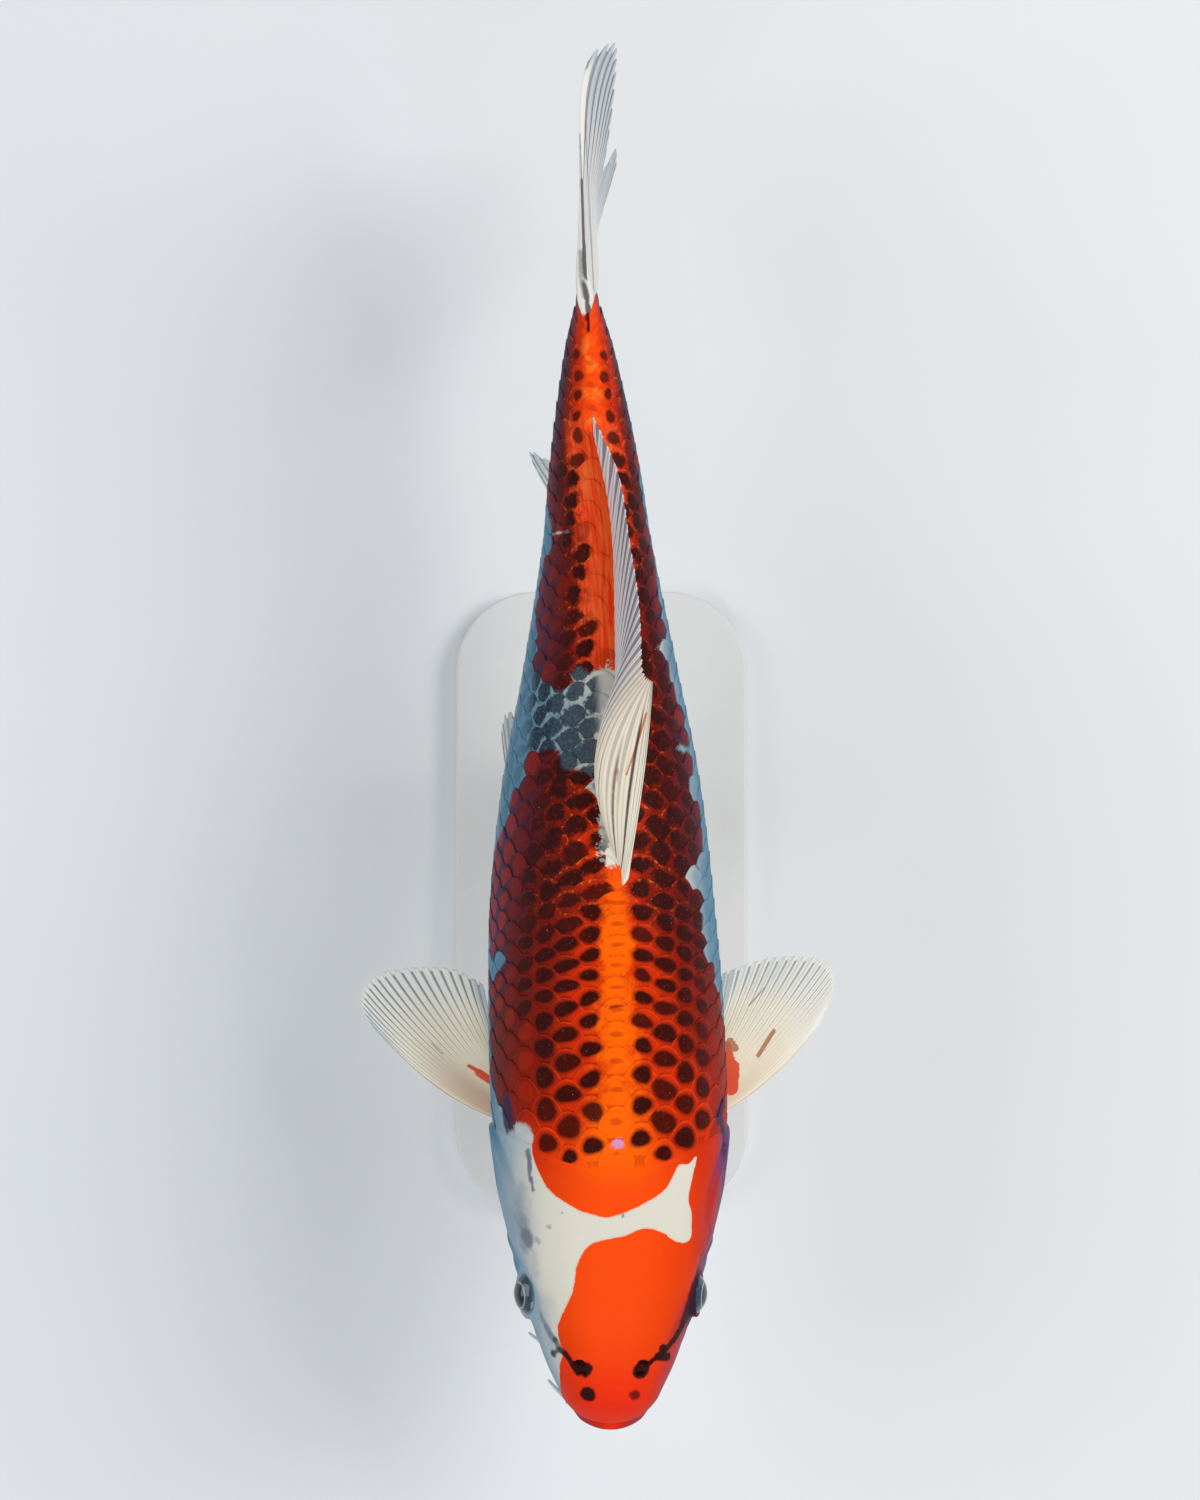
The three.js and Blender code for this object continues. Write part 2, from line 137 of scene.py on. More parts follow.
half_width = through([
    (0, 15.2), (11, 18.9), (27, 26), (51, 33.8), (75, 40.4), (107, 45.3), (130, 47.2),
    (170, 46.8), (210, 44.5), (258, 39), (305, 30), (353, 21.6), (378, 18.9), (401, 15.5),
    (430, 10), (440, 7.3), (447, 5.4),
])
back_height = through([
    (0, 9), (14, 19.5), (34, 30.5), (64, 43.5), (100, 55), (140, 65), (185, 70.5), (218, 70),
    (262, 64.5), (310, 53.5), (352, 41.5), (388, 33), (418, 29.5), (447, 29.5),
])
belly_depth = through([
    (0, 9), (14, 15), (34, 22), (64, 32.5), (100, 42.5), (145, 50), (190, 52), (235, 50),
    (285, 42.5), (330, 33.5), (365, 26.5), (400, 23), (425, 23), (447, 25),
])
widest_level = through([(0, -2), (60, 1), (140, 6), (300, 6), (447, 2.5)])
axis_course = through([
    (0, 3.6), (110, 3.2), (170, 1.6), (210, 0.1), (300, -0.6), (370, -2.4), (447, -5.6),
])
roll_degrees = through([
    (0, 0), (80, 1.4), (113, 2.8), (145, 3.3), (175, 3.9), (210, 5.5), (240, 6.4), (290, 6.6), (350, 7),
    (375, 4), (400, 1), (447, 0),
])
fullness_above = through([(0, 2.2), (50, 2.7), (95, 2.5), (150, 2.2), (300, 2.1), (447, 2)])
fullness_below = through([(0, 2.2), (60, 2.5), (200, 2.35), (330, 2.1), (447, 2)])


def power(value, exponent):
    return np.sign(value) * np.abs(value) ** exponent


def flank(station, angle, grow=0.0):
    """(side, height) from the axis before the body rolls, at an angle with 0 on the left flank."""
    taper = np.sqrt(1 - (1 - np.minimum(station / SNOUT_ROUND, 1)) ** 2)
    level = widest_level(station)
    above = np.sin(angle) >= 0
    fullness = np.where(above, fullness_above(station), fullness_below(station))
    reach = np.where(above, back_height(station) - level, belly_depth(station) + level)
    side = power(np.cos(angle), 2 / fullness) * (half_width(station) * taper + grow)
    rise = power(np.sin(angle), 2 / fullness) * (reach * taper + grow)
    near_eye = ((station - EYE_STATION) ** 2 + (rise + level - EYE_HEIGHT) ** 2) / EYE_BULGE_REACH ** 2
    return side + np.sign(side) * EYE_BULGE * np.exp(-near_eye), rise


def surface(station, angle, grow=0.0):
    """Points of the body surface in fish space."""
    station, angle = np.broadcast_arrays(np.asarray(station, float), np.asarray(angle, float))
    side, rise = flank(station, angle, grow)
    roll = np.radians(roll_degrees(station))
    across = side * np.cos(roll) + rise * np.sin(roll)
    up = rise * np.cos(roll) - side * np.sin(roll)
    return np.stack([axis_course(station) + across, station, widest_level(station) + up], axis=-1)


# Tables of arc length round the body let a station and an arc be turned into an angle.
TABLE_STATIONS = np.concatenate([np.linspace(0.3, 30, 100)[:-1], np.linspace(30, BODY_END, 420)])
TABLE_ANGLES = np.linspace(-1.5 * np.pi, 0.5 * np.pi, 1441) + np.pi
BACK = np.pi / 2
_ring = surface(TABLE_STATIONS[:, None], TABLE_ANGLES[None, :])
_step = np.linalg.norm(np.diff(_ring, axis=1), axis=2)
_along = np.concatenate([np.zeros((len(TABLE_STATIONS), 1)), np.cumsum(_step, axis=1)], axis=1)
_back_column = int(np.argmin(np.abs(TABLE_ANGLES - BACK)))
TABLE_ARCS = _along[:, _back_column:_back_column + 1] - _along
GIRTH = _along[:, -1]
_flank_column = int(np.argmin(np.abs(TABLE_ANGLES)))
LEVEL_ARC = TABLE_ARCS[:, _flank_column]


def girth(station):
    return np.interp(station, TABLE_STATIONS, GIRTH)


def level_arc(station):
    """The arc from the middle of the back down to the widest level, where the lateral line runs."""
    return np.interp(station, TABLE_STATIONS, LEVEL_ARC)


def arc_to_angle(station, arc):
    station, arc = np.broadcast_arrays(np.asarray(station, float), np.asarray(arc, float))
    shape = station.shape
    station = station.ravel()
    whole = girth(station)
    arc = arc.ravel()
    row = np.clip(np.searchsorted(TABLE_STATIONS, station) - 1, 0, len(TABLE_STATIONS) - 2)
    share = (station - TABLE_STATIONS[row]) / (TABLE_STATIONS[row + 1] - TABLE_STATIONS[row])
    share = np.clip(share, 0, 1)
    made = np.empty(len(station))
    # An arc that runs past the middle of the belly comes up the other side.
    belly = np.interp(station, TABLE_STATIONS, TABLE_ARCS[:, -1] / GIRTH)
    wanted = (arc / whole - belly) % 1.0 + belly
    # Arcs are compared as shares of the girth, so neighbouring rows can be blended.
    for r in np.unique(row):
        pick = row == r
        low = np.interp(-wanted[pick], -TABLE_ARCS[r] / GIRTH[r], TABLE_ANGLES)
        high = np.interp(-wanted[pick], -TABLE_ARCS[r + 1] / GIRTH[r + 1], TABLE_ANGLES)
        made[pick] = low + (high - low) * share[pick]
    return made.reshape(shape)


# ---- meshes ----


def fill_attribute(mesh, name, values):
    """A number for every vertex, for the material nodes to read."""
    attribute = mesh.attributes.new(name, "FLOAT", "POINT")
    attribute.data.foreach_set("value", np.ascontiguousarray(values, dtype=np.float32).ravel())


def new_mesh(name, points, faces, uvs=None, attributes=None):
    """An object from points in metres and a list of arrays of faces, one array for each corner count."""
    mesh = bpy.data.meshes.new(name)
    corners = np.concatenate([group.ravel() for group in faces])
    counts = np.concatenate([np.full(len(group), group.shape[1]) for group in faces])
    starts = np.concatenate([[0], np.cumsum(counts)[:-1]])
    mesh.vertices.add(len(points))
    mesh.vertices.foreach_set("co", np.ascontiguousarray(points, dtype=np.float32).ravel())
    mesh.loops.add(len(corners))
    mesh.loops.foreach_set("vertex_index", corners.astype(np.int32))
    mesh.polygons.add(len(counts))
    mesh.polygons.foreach_set("loop_start", starts.astype(np.int32))
    mesh.polygons.foreach_set("use_smooth", np.full(len(counts), True))
    if uvs is not None:
        layer = mesh.uv_layers.new(name="OFBake")
        layer.data.foreach_set("uv", np.ascontiguousarray(uvs, dtype=np.float32).ravel())
    for key, values in (attributes or {}).items():
        fill_attribute(mesh, key, values)
    mesh.update(calc_edges=True)
    mesh.validate()
    piece = bpy.data.objects.new(name, mesh)
    bpy.context.scene.collection.objects.link(piece)
    return piece


def finish_piece(piece, material, nodes=()):
    """The piece's material, and what the part's frame has to know of it."""
    piece.data.materials.append(material)
    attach(piece, "root")
    if nodes:
        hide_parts(*nodes)


def tube_faces(rings, around):
    """Quads of a tube of rings, which closes on itself round each ring."""
    i = np.arange(rings - 1)[:, None]
    j = np.arange(around)[None, :]
    beside = (j + 1) % around
    return np.stack(
        [i * around + j, i * around + beside, (i + 1) * around + beside, (i + 1) * around + j], axis=-1
    ).reshape(-1, 4)


def fan_faces(ring_start, around, centre, turned):
    """Triangles from a ring to one point in its middle."""
    j = np.arange(around)
    first, second = ring_start + j, ring_start + (j + 1) % around
    if turned:
        first, second = second, first
    return np.stack([np.full(around, centre), second, first], axis=-1)


def capped_tube(rings):
    """Points and faces through rings of the same length, with a fan at each end."""
    rings = np.asarray(rings)
    count, around = rings.shape[:2]
    points = np.concatenate([rings.reshape(-1, 3), rings[:1].mean(axis=1), rings[-1:].mean(axis=1)])
    whole = count * around
    first = fan_faces(0, around, whole, False)
    last = fan_faces(whole - around, around, whole + 1, True)
    return points, [tube_faces(count, around), np.concatenate([first, last])]


def tube_uv(u, v):
    """Flat map of a tube's quads. It has a u for each ring, and a v for each column and one more."""
    i, j = np.divmod(np.arange((len(u) - 1) * (len(v) - 1)), len(v) - 1)
    corners = [np.stack([u[i + a], v[j + b]], axis=-1) for a, b in ((0, 0), (0, 1), (1, 1), (1, 0))]
    return np.stack(corners, axis=1)


def grid_faces(rows, columns):
    """Quads of an open grid of points."""
    i, j = np.divmod(np.arange((rows - 1) * (columns - 1)), columns - 1)
    corner = i * columns + j
    return np.stack([corner, corner + 1, corner + columns + 1, corner + columns], axis=-1)


def grid_rim(rows, columns):
    """The points round the outside of a grid, in order."""
    return np.concatenate([
        np.arange(columns), np.arange(1, rows) * columns + columns - 1,
        (rows - 1) * columns + np.arange(columns - 2, -1, -1), np.arange(rows - 2, 0, -1) * columns,
    ])


def grid_normals(points, wrap):
    """Unit normals of a grid of points, from its neighbours."""
    along = np.gradient(points, axis=0)
    if wrap:
        across = (np.roll(points, -1, axis=1) - np.roll(points, 1, axis=1)) / 2
    else:
        across = np.gradient(points, axis=1)
    normal = np.cross(along, across)
    length = np.linalg.norm(normal, axis=-1, keepdims=True)
    return normal / np.maximum(length, 1e-9)


def ragged(station, arc, size, seed):
    """A smooth wavy noise of the skin's flat map, between about -1 and 1."""
    total = np.zeros(np.broadcast(station, arc).shape)
    rng = np.random.default_rng(seed)
    for octave in range(3):
        for _ in range(4):
            turn = rng.uniform(0, 2 * np.pi)
            phase = rng.uniform(0, 2 * np.pi)
            pitch = 2 * np.pi * 2 ** octave / size * rng.uniform(0.8, 1.25)
            wave = np.sin((station * np.cos(turn) + arc * np.sin(turn)) * pitch + phase)
            total += wave / 2 ** octave
    return total / 4


# ---- markings, on the flat map of station and arc ----


def inside(outline, station, arc):
    """Distance in millimetres to a closed outline, positive inside it."""
    line = smooth_line(outline, steps=5)
    flat = np.stack([np.ravel(station), np.ravel(arc)], axis=-1)
    best = np.full(len(flat), 1e9)
    odd = np.zeros(len(flat), bool)
    for start, end in zip(line, np.roll(line, -1, axis=0)):
        run = end - start
        share = np.clip(((flat - start) @ run) / max(run @ run, 1e-9), 0, 1)
        best = np.minimum(best, np.linalg.norm(flat - start - share[:, None] * run, axis=1))
        crosses = (start[1] > flat[:, 1]) != (end[1] > flat[:, 1])
        with np.errstate(divide="ignore", invalid="ignore"):
            meet = start[0] + (flat[:, 1] - start[1]) / (end[1] - start[1]) * run[0]
        odd ^= crosses & (flat[:, 0] < meet)
    return np.where(odd, best, -best).reshape(np.shape(station))


# White skin inside the red, as outlines of (station, arc) points: nape and right cheek, then the right flank
# behind the first patch with a strip beside the back fin, and small breaks on both flanks.
WHITE_CHEEK = [
    (4, -60), (9, -34), (12, -28), (19, -24), (27, -22), (32.5, -20), (38, -21.5), (44, -21.8), (51, -18.7),
    (59, -15.4), (70, -13.7), (77.5, -9), (80, -1), (81.5, 5.6), (84, 12), (82, 19.6), (78, 26), (78.5, 32.5),
    (85, 33.2), (90, 32.8), (94.5, 30.8), (103, 32.3), (112, 34.6), (108.8, 30), (108.8, 25.4),
    (102, 21.7), (97.5, 17.5), (93, 9.7), (90, 2.9), (88.5, -2.9), (90.6, -11.5), (94, -18.8), (100, -27.3),
    (110.6, -34), (122, -37.9), (123.5, -46), (127, -51), (131, -64), (141, -79), (150, -120), (80, -190),
    (0, -150),
]
WHITE_FLANK = [
    (222, -140), (226, -94), (237, -67), (250, -57), (256, -50), (266, -43), (269.5, -33), (269, -24),
    (263.7, -22.4), (262, -17), (258, -11), (254.5, -7.6), (246, -6.7), (238, -7.3), (231, -8), (226, -9),
    (225, -6.2), (222.5, -3.2), (223, 1), (229, 3), (280, 3), (303, 2), (304, -3), (301, -6), (300, -14),
    (296.5, -19), (295, -24), (296, -33.6), (299, -40), (303, -46), (313, -45), (321, -50.5),
    (329, -48), (337, -43), (347, -38), (356, -34), (362, -37), (368, -50), (374, -140),
]
WHITE_BREAKS = [
    [
        (181, -110), (179, -82), (184, -66), (189, -57), (193, -56), (191, -63), (189, -74), (195, -90),
        (200, -110),
    ],
    [(210, 80), (211, 52), (216, 40), (223, 32), (225, 36), (221, 43), (224, 56), (228, 80)],
    [(261, 80), (264, 52), (267, 38), (270, 28), (273, 34), (272, 44), (277, 80)],
    [(303, 80), (305, 42), (307, 26), (310, 19), (313, 26), (318, 44), (322, 80)],
]
# How far down each flank the red reaches, as a share of the arc to the widest level.
red_reach_right = through([
    (0, 1.3), (110, 1.1), (128, 0.92), (155, 0.9), (200, 1.12), (240, 1.12), (370, 1.08), (447, 1.0),
])
red_reach_left = through([
    (0, 1.35), (60, 1.35), (110, 1.25), (148, 0.94), (165, 0.8), (175, 0.71), (184, 0.6), (195, 0.52),
    (215, 0.51), (235, 0.6), (252, 0.55), (270, 0.6), (290, 0.55), (310, 0.52), (330, 0.6), (370, 0.72),
    (400, 0.9), (447, 0.95),
])


def red_distance(station, arc):
    """Distance into the red, positive where the skin is red."""
    reach = np.where(arc > 0, red_reach_left(station), red_reach_right(station)) * level_arc(station)
    red = (reach - np.abs(arc)) * 0.8
    red = red + ragged(station, arc, 26, 5) * 2.2 * step(100, 140, station)
    for white in [WHITE_CHEEK, WHITE_FLANK, *WHITE_BREAKS]:
        red = np.minimum(red, -inside(white, station, arc))
    return red


def capsule(station, arc, start, end, radius):
    """Distance into a short stroke with round ends."""
    start, end = np.array(start, float), np.array(end, float)
    run = end - start
    flat = np.stack([station, arc], axis=-1) - start
    share = np.clip((flat @ run) / max(run @ run, 1e-9), 0, 1)
    return radius - np.linalg.norm(flat - share[..., None] * run, axis=-1)


# Strokes of paint: start, end, radius and strength. A place is a station and an arc.
INK = [
    # The right nostrils, the squiggle beside them and the line that fades toward the eye.
    ((26.2, -10.6), (26.4, -12.4), 3.1, 1.0), ((27.2, -14.4), (27.6, -15.2), 1.5, 0.9),
    ((15.2, -9.1), (15.4, -9.4), 3.0, 1.0), ((28.6, -15.8), (32.2, -18.6), 1.2, 0.9),
    ((32.2, -18.6), (33.8, -21.3), 1.5, 0.8), ((33.4, -21.8), (31.7, -25.6), 1.1, 0.7),
    ((31.8, -25.2), (31.6, -26), 1.5, 0.75), ((34.0, -21.4), (37.5, -23.4), 1.6, 0.62),
    ((60.5, -40.4), (49.5, -35.0), 0.55, 0.5),
    # The left nostrils, the blot beside them and the band that runs over the eye.
    ((25.4, 11.6), (25.8, 12.4), 3.0, 1.0), ((14.9, 9.6), (15.1, 9.9), 2.2, 0.7),
    ((27.6, 14.0), (30.4, 18.2), 1.0, 0.95), ((31.0, 19.4), (30.2, 25.6), 1.8, 1.0),
    ((34.2, 21.6), (31.6, 22.6), 1.9, 1.0), ((34, 23.6), (38, 28.8), 1.5, 0.85),
    ((38, 28.8), (43, 33.6), 2.0, 0.85), ((43, 33.6), (48, 37.4), 1.9, 0.85),
    ((48, 37), (54, 39.6), 2.5, 0.85), ((54, 39.6), (62, 42.2), 2.6, 0.85),
    ((62, 42.2), (70, 45.4), 2.4, 0.7), ((70, 45.4), (80, 49.5), 2.0, 0.4),
    ((36, 26.4), (56, 37.6), 3.4, 0.34), ((42, 31.6), (50, 34.6), 1.9, 0.8),
    ((50, 34.6), (60, 38.4), 2.0, 0.7), ((60, 38.4), (72, 44), 1.8, 0.5),
    # A dark streak down the back of the tail's root.
    ((434.5, -0.3), (441, -0.1), 0.95, 0.95), ((441, -0.1), (452, 0.2), 1.1, 0.95),
]
BRUISE = [
    ((131, -53.5), (124.5, -52), 4.2, 0.95), ((126.5, -48.5), (126.5, -51), 2.6, 0.6),
    ((131.5, 59), (125.5, 51.5), 3.0, 0.9), ((125, 55), (117, 61), 3.6, 0.85),
    ((117, 61), (98, 60), 3.0, 0.55),
]
CLOUD = [
    ((78.1, -36.8), (80, -38.6), 3.4, 0.8), ((78.8, -31.6), (78.3, -31), 1.5, 0.5),
    ((83.7, -25.6), (84.2, -26.4), 0.9, 0.6), ((90, -20.1), (90, -20.4), 0.6, 0.8),
    ((88.6, 3.4), (89.6, 3.5), 0.45, 0.8), ((114, -37.3), (105, -36.1), 1.15, 1.0),
    ((105, -36.1), (98.6, -34.2), 0.9, 0.95), ((38, -24.5), (42, -28), 1.8, 0.75),
    ((42, -28), (47, -31.8), 1.6, 0.6), ((92.4, -36.5), (94.5, -38.5), 2.8, 0.3),
    ((24, -24.5), (30, -27.5), 1.0, 0.25),
]
HAZE = [
    ((98, -41.5), (88, -43.5), 4.2, 0.42), ((86, -40.5), (77, -38.5), 4.6, 0.55),
    ((73, -34), (66, -33), 2.6, 0.32), ((66, -38.5), (60, -37), 2.4, 0.35),
    ((44, -29), (34, -25.5), 3.0, 0.32),
]
# A dark red line painted as shade in a fold of the skin across the back.
CREASE_SHADE = [
    ((171.8, -6.2), (170.9, -2.6), 0.35, 0.9), ((170.9, -2.6), (171.5, 2.4), 0.45, 1.0),
    ((171.5, 2.4), (173.4, 6.4), 0.3, 0.8), ((168.2, -4.6), (165, -0.6), 0.2, 0.45),
    ((165, -0.6), (168, 4), 0.2, 0.45),
]
CHALK = [((354.5, -32), (355.1, -23), 0.35, 0.8), ((355.1, -23), (355.2, -16.5), 0.3, 0.7)]
LILAC = [((117.2, 0.2), (118.2, 0.5), 2.0, 1.0)]


def painted(strokes, station, arc, wobble=0.35, softness=1.0):
    """How strongly a list of strokes covers each place, from 0 to 1."""
    shake = ragged(station, arc, 5, 11) * wobble
    total = np.zeros(np.shape(station))
    for start, end, radius, strength in strokes:
        soft = (0.3 + 0.3 * radius) * softness
        distance = capsule(station, arc, start, end, radius) + shake
        total = np.maximum(total, strength * step(-soft, soft * 0.7, distance))
    return total


def ramp(station, arc, value, right, left):
    """0 to 1 as a value passes from a start to an end, which change along each side of the fish."""
    made = []
    for table in (right, left):
        at, start, end = (np.array(column, float) for column in zip(*table))
        low = np.interp(station, at, start)
        made.append((value - low) / (np.interp(station, at, end) - low))
    return np.where(arc < 0, made[0], made[1])


# Station, then how far down that flank the red reaches each of five darker tones, as shares of the arc to the
# widest level. The tones are partly the fish's own maroon and partly painted shade, deeper on the right
# flank, away from the light.
TONES_RIGHT = [
    (0, 0.9, 1.2, 1.4, 1.6, 1.8), (100, 0.6, 1, 1.3, 1.5, 1.7), (115, 0.46, 0.8, 1, 1.2, 1.4),
    (130, 0.17, 0.54, 0.66, 0.95, 1.2), (150, 0.12, 0.36, 0.66, 0.95, 1.2),
    (170, 0.16, 0.33, 0.5, 0.8, 1.1), (190, 0.11, 0.3, 0.48, 0.6, 0.82),
    (210, 0.12, 0.24, 0.41, 0.56, 0.78), (240, 0.13, 0.25, 0.35, 0.54, 0.76),
    (280, 0.15, 0.25, 0.34, 0.52, 0.74), (310, 0.19, 0.26, 0.32, 0.45, 0.64),
    (330, 0.18, 0.29, 0.38, 0.49, 0.68), (350, 0.2, 0.33, 0.46, 0.58, 0.8),
    (370, 0.23, 0.34, 0.48, 0.6, 0.85), (390, 0.31, 0.4, 0.48, 0.58, 0.76),
    (410, 0.22, 0.38, 0.48, 0.58, 0.76), (430, 0.17, 0.35, 0.46, 0.56, 0.75),
]
TONES_LEFT = [
    (0, 1, 1.3, 1.5, 1.7, 1.9), (90, 0.7, 1.2, 1.4, 1.6, 1.8), (115, 0.5, 1.2, 1.5, 1.7, 1.9),
    (130, 0.26, 0.95, 1.3, 1.5, 1.7), (150, 0.17, 0.48, 1, 1.3, 1.5), (170, 0.16, 0.32, 0.75, 1, 1.2),
    (190, 0.1, 0.32, 0.42, 0.6, 0.85), (210, 0.07, 0.16, 0.33, 0.55, 0.8),
    (240, 0.07, 0.16, 0.34, 0.43, 0.56), (290, 0.08, 0.17, 0.3, 0.4, 0.52),
    (330, 0.08, 0.18, 0.25, 0.34, 0.48), (350, 0.12, 0.3, 0.38, 0.45, 0.56),
    (370, 0.22, 0.38, 0.43, 0.5, 0.65), (390, 0.35, 0.44, 0.5, 0.58, 0.7),
    (410, 0.28, 0.47, 0.53, 0.6, 0.74), (430, 0.25, 0.48, 0.56, 0.65, 0.8),
]
# The same for the painted reflection and shade, red then purple, at the edge of the red.
EDGE_REFLECTION_RIGHT = [(0, 0.7, 1.2), (30, 0.5, 0.9), (120, 0.85, 1.15), (160, 1.2, 1.6), (447, 1.2, 1.6)]
EDGE_REFLECTION_LEFT = [
    (0, 0.6, 1.2), (20, 0.42, 1.0), (40, 0.38, 0.85), (60, 0.45, 0.88), (90, 0.46, 0.82), (105, 0.48, 0.74),
    (120, 0.55, 0.72), (130, 0.8, 1.1), (165, 1.2, 1.6), (447, 1.2, 1.6),
]
# The same for the blue-grey painted on white skin down the flanks: a painted reflection of blue light,
# deepening to painted shade at the edge.
REFLECTION_RIGHT = [
    (0, 0.34, 0.84), (30, 0.34, 0.86), (40, 0.34, 0.80), (52, 0.35, 0.80), (64, 0.35, 0.80), (76, 0.36, 0.84),
    (88, 0.36, 0.86), (100, 0.34, 0.84), (112, 0.37, 0.82), (130, 0.40, 0.80), (200, 0.30, 0.60),
    (240, 0.02, 0.56), (305, 0.02, 0.56), (330, 0.30, 0.60), (447, 0.4, 0.7),
]
REFLECTION_LEFT = [(0, 0.45, 0.9), (150, 0.45, 0.9), (190, 0.25, 0.6), (447, 0.2, 0.55)]


def tones(station, arc, level):
    """How dark the red is, from 0 along the back to 5 at its darkest: its own maroon and painted shade down
    the flanks.
    """
    made = []
    for table in (TONES_RIGHT, TONES_LEFT):
        at, *shares = (np.array(column, float) for column in zip(*table))
        marks = [0 * level] + [np.interp(station, at, share) for share in shares]
        steps = [np.clip((level - low) / (high - low), 0, 1) for low, high in zip(marks, marks[1:])]
        made.append(sum(steps))
    return np.where(arc < 0, *made)


def level_of(station, arc):
    return np.abs(arc) / level_arc(np.minimum(station, BODY_END))


def flat_marks(station, arc):
    """Every marking at a place on the fish's flat map, by name."""
    level = level_of(station, arc)
    wander = ragged(station, arc, 40, 21) * 0.03
    near = np.abs(arc)
    saddle = step(250, 261, station) * step(320, 306, station) * step(-52, -38, arc) * step(-5.0, -8.5, arc)
    specks = 0.8 * np.exp(-((station - 231) / 6) ** 2 - ((arc + 6) / 3.5) ** 2)
    mid_flank = step(232, 250, station) * step(335, 312, station)
    behind = step(196, 214, station) * step(446, 430, station)
    middle_band = step(21, 6, near) * step(96, 116, station) * step(232, 206, station)
    # Painted reflection and shade where the red turns down the flanks.
    edge_reflection = ramp(station, arc, level + wander, EDGE_REFLECTION_RIGHT, EDGE_REFLECTION_LEFT)
    # Painted blue reflection and shade on white skin down the flanks.
    blue_reflection = ramp(station, arc, level + wander * 2, REFLECTION_RIGHT, REFLECTION_LEFT)
    cloud = painted(CLOUD, station, arc, 0.4, 1.3)
    haze = painted(HAZE, station, arc, 1.2, 2.6)
    return {
        "arc": arc, "station": station, "orange": middle_band,
        "dusk": tones(station, arc, level + wander),
        "edge_reflection": np.clip(edge_reflection, 0, 1) * step(1.14, 0.94, level),
        "belly": step(0.94, 1.3, level + wander),
        "blue_reflection": np.clip(blue_reflection, -0.5, 1.5),
        "strip": step(15, 9, np.abs(arc + 2)) * step(290, 304, station) * step(404, 392, station),
        "slate": (0.12 + 0.8 * saddle + specks + 0.22 * (arc < -30) * mid_flank) * step(1.1, 0.8, level),
        "mottle": behind * step(6, 11, near + 6 * step(300, 280, station)),
        "ink": painted(INK, station, arc), "bruise": painted(BRUISE, station, arc, 1.1, 1.6),
        "cloud": np.maximum(cloud, haze), "crease_shade": painted(CREASE_SHADE, station, arc, 0.15, 0.7),
        "chalk": painted(CHALK, station, arc, 0.3), "lilac": painted(LILAC, station, arc, 0.5, 0.6),
    }


# ---- the skin ----

SKIN_AROUND = 256
SNOUT_ROWS = 54
HEAD_STEP = 0.72
BODY_STEP = 2.3
HEAD_ROWS_END = 126
MOUTH_WIDTH = math.radians(52)
MOUTH_DROP = 0.30
MOUTH_CORNER_DROP = 0.22
MOUTH_GAP = 0.035
THROAT_DEPTHS = (4.6, 3.4, 2.2, 1.2, 0.5)
TAIL_RUNS = (1.2, 2.6, 4.2, 5.8, 7.2, 8.4, 9.2)
TAIL_ROUND = 9.4
TAIL_DRIFT = 0.048
COAT_DEPTH = 0.75
HEAD_EDGE = 107
GILL_STATION = 92
GILL_HEIGHT = -4
FRONT_NOSTRIL = (24.4, 11.6)
REAR_NOSTRIL = (28.2, 12.8)
NOSTRIL_FLAP = (26.4, 12.2)
# The lids lie this far from the middle of an eye. The right eye, at -1, is wider open and rolled further up
# than the left one, at 1. Both globes sit a little out, back and up from the CAD's.
LID_RADIUS = 8.9
EYE_OPENING = {-1: 58, 1: 48}
EYE_TILT = {-1: 0.50, 1: 0.18}
EYE_SHIFT = np.array([0.5, 2.8, 1.4])
EYE_STRETCH = np.array([1.0, 1.2, 1.0])


def eye_axis(sign):
    """Which way an eye looks: out, a little ahead and up. The right one is rolled further up."""
    axis = np.array([sign * 0.86, -0.08, EYE_TILT[sign]])
    return axis / np.linalg.norm(axis)


def eye_middle(sign):
    """The middle of a globe in fish space: the CAD's eye, set a little out, back and up."""
    centre = np.array([*EYES["left" if sign > 0 else "right"]]) / MM - np.array([0, SNOUT_Y, AXIS_Z])
    return centre + EYE_SHIFT * np.array([sign, 1, 1])


def nape_line(arc):
    """The station where the scales start, at an arc from the middle of the back."""
    return HEAD_EDGE + 14 * step(0, 62, np.abs(arc)) - 4 * step(95, 150, np.abs(arc))


def gill_distance(station, height):
    """Distance inside the gill cover's rounded outline, seen from the side."""
    ahead, above = station - GILL_STATION, height - GILL_HEIGHT
    reach = np.where(ahead > 0, 29, 17)
    tall = np.where(above > 0, 37, 39)
    shape = (np.abs(ahead) / reach) ** 2.2 + (np.abs(above) / tall) ** 2.3
    return (1 - shape ** 0.45) * 28


def head_relief(station, arc, side, height):
    """How far the skin of the head stands out along its outward normals, in millimetres."""
    lateral = step(12, 24, np.abs(side))
    out = lateral * cheek_relief(station, height)
    # The skull: a shallow hollow between the eyes and fine furrows.
    out -= 0.5 * hill(side, 9) * hill(station - 46, 24)
    out += 0.35 * hill(np.abs(side) - 17, 5) * hill(station - 60, 26) * step(0, 10, height)
    # Fold behind the lips, and the gill membranes that meet under the throat.
    throat = np.abs(side) - (3 + 24 * step(58, 100, station))
    out -= 0.8 * hill(throat, 1.4) * step(-18, -26, height) * step(56, 62, station) * step(118, 104, station)
    return out + nostril_relief(station, np.abs(arc))


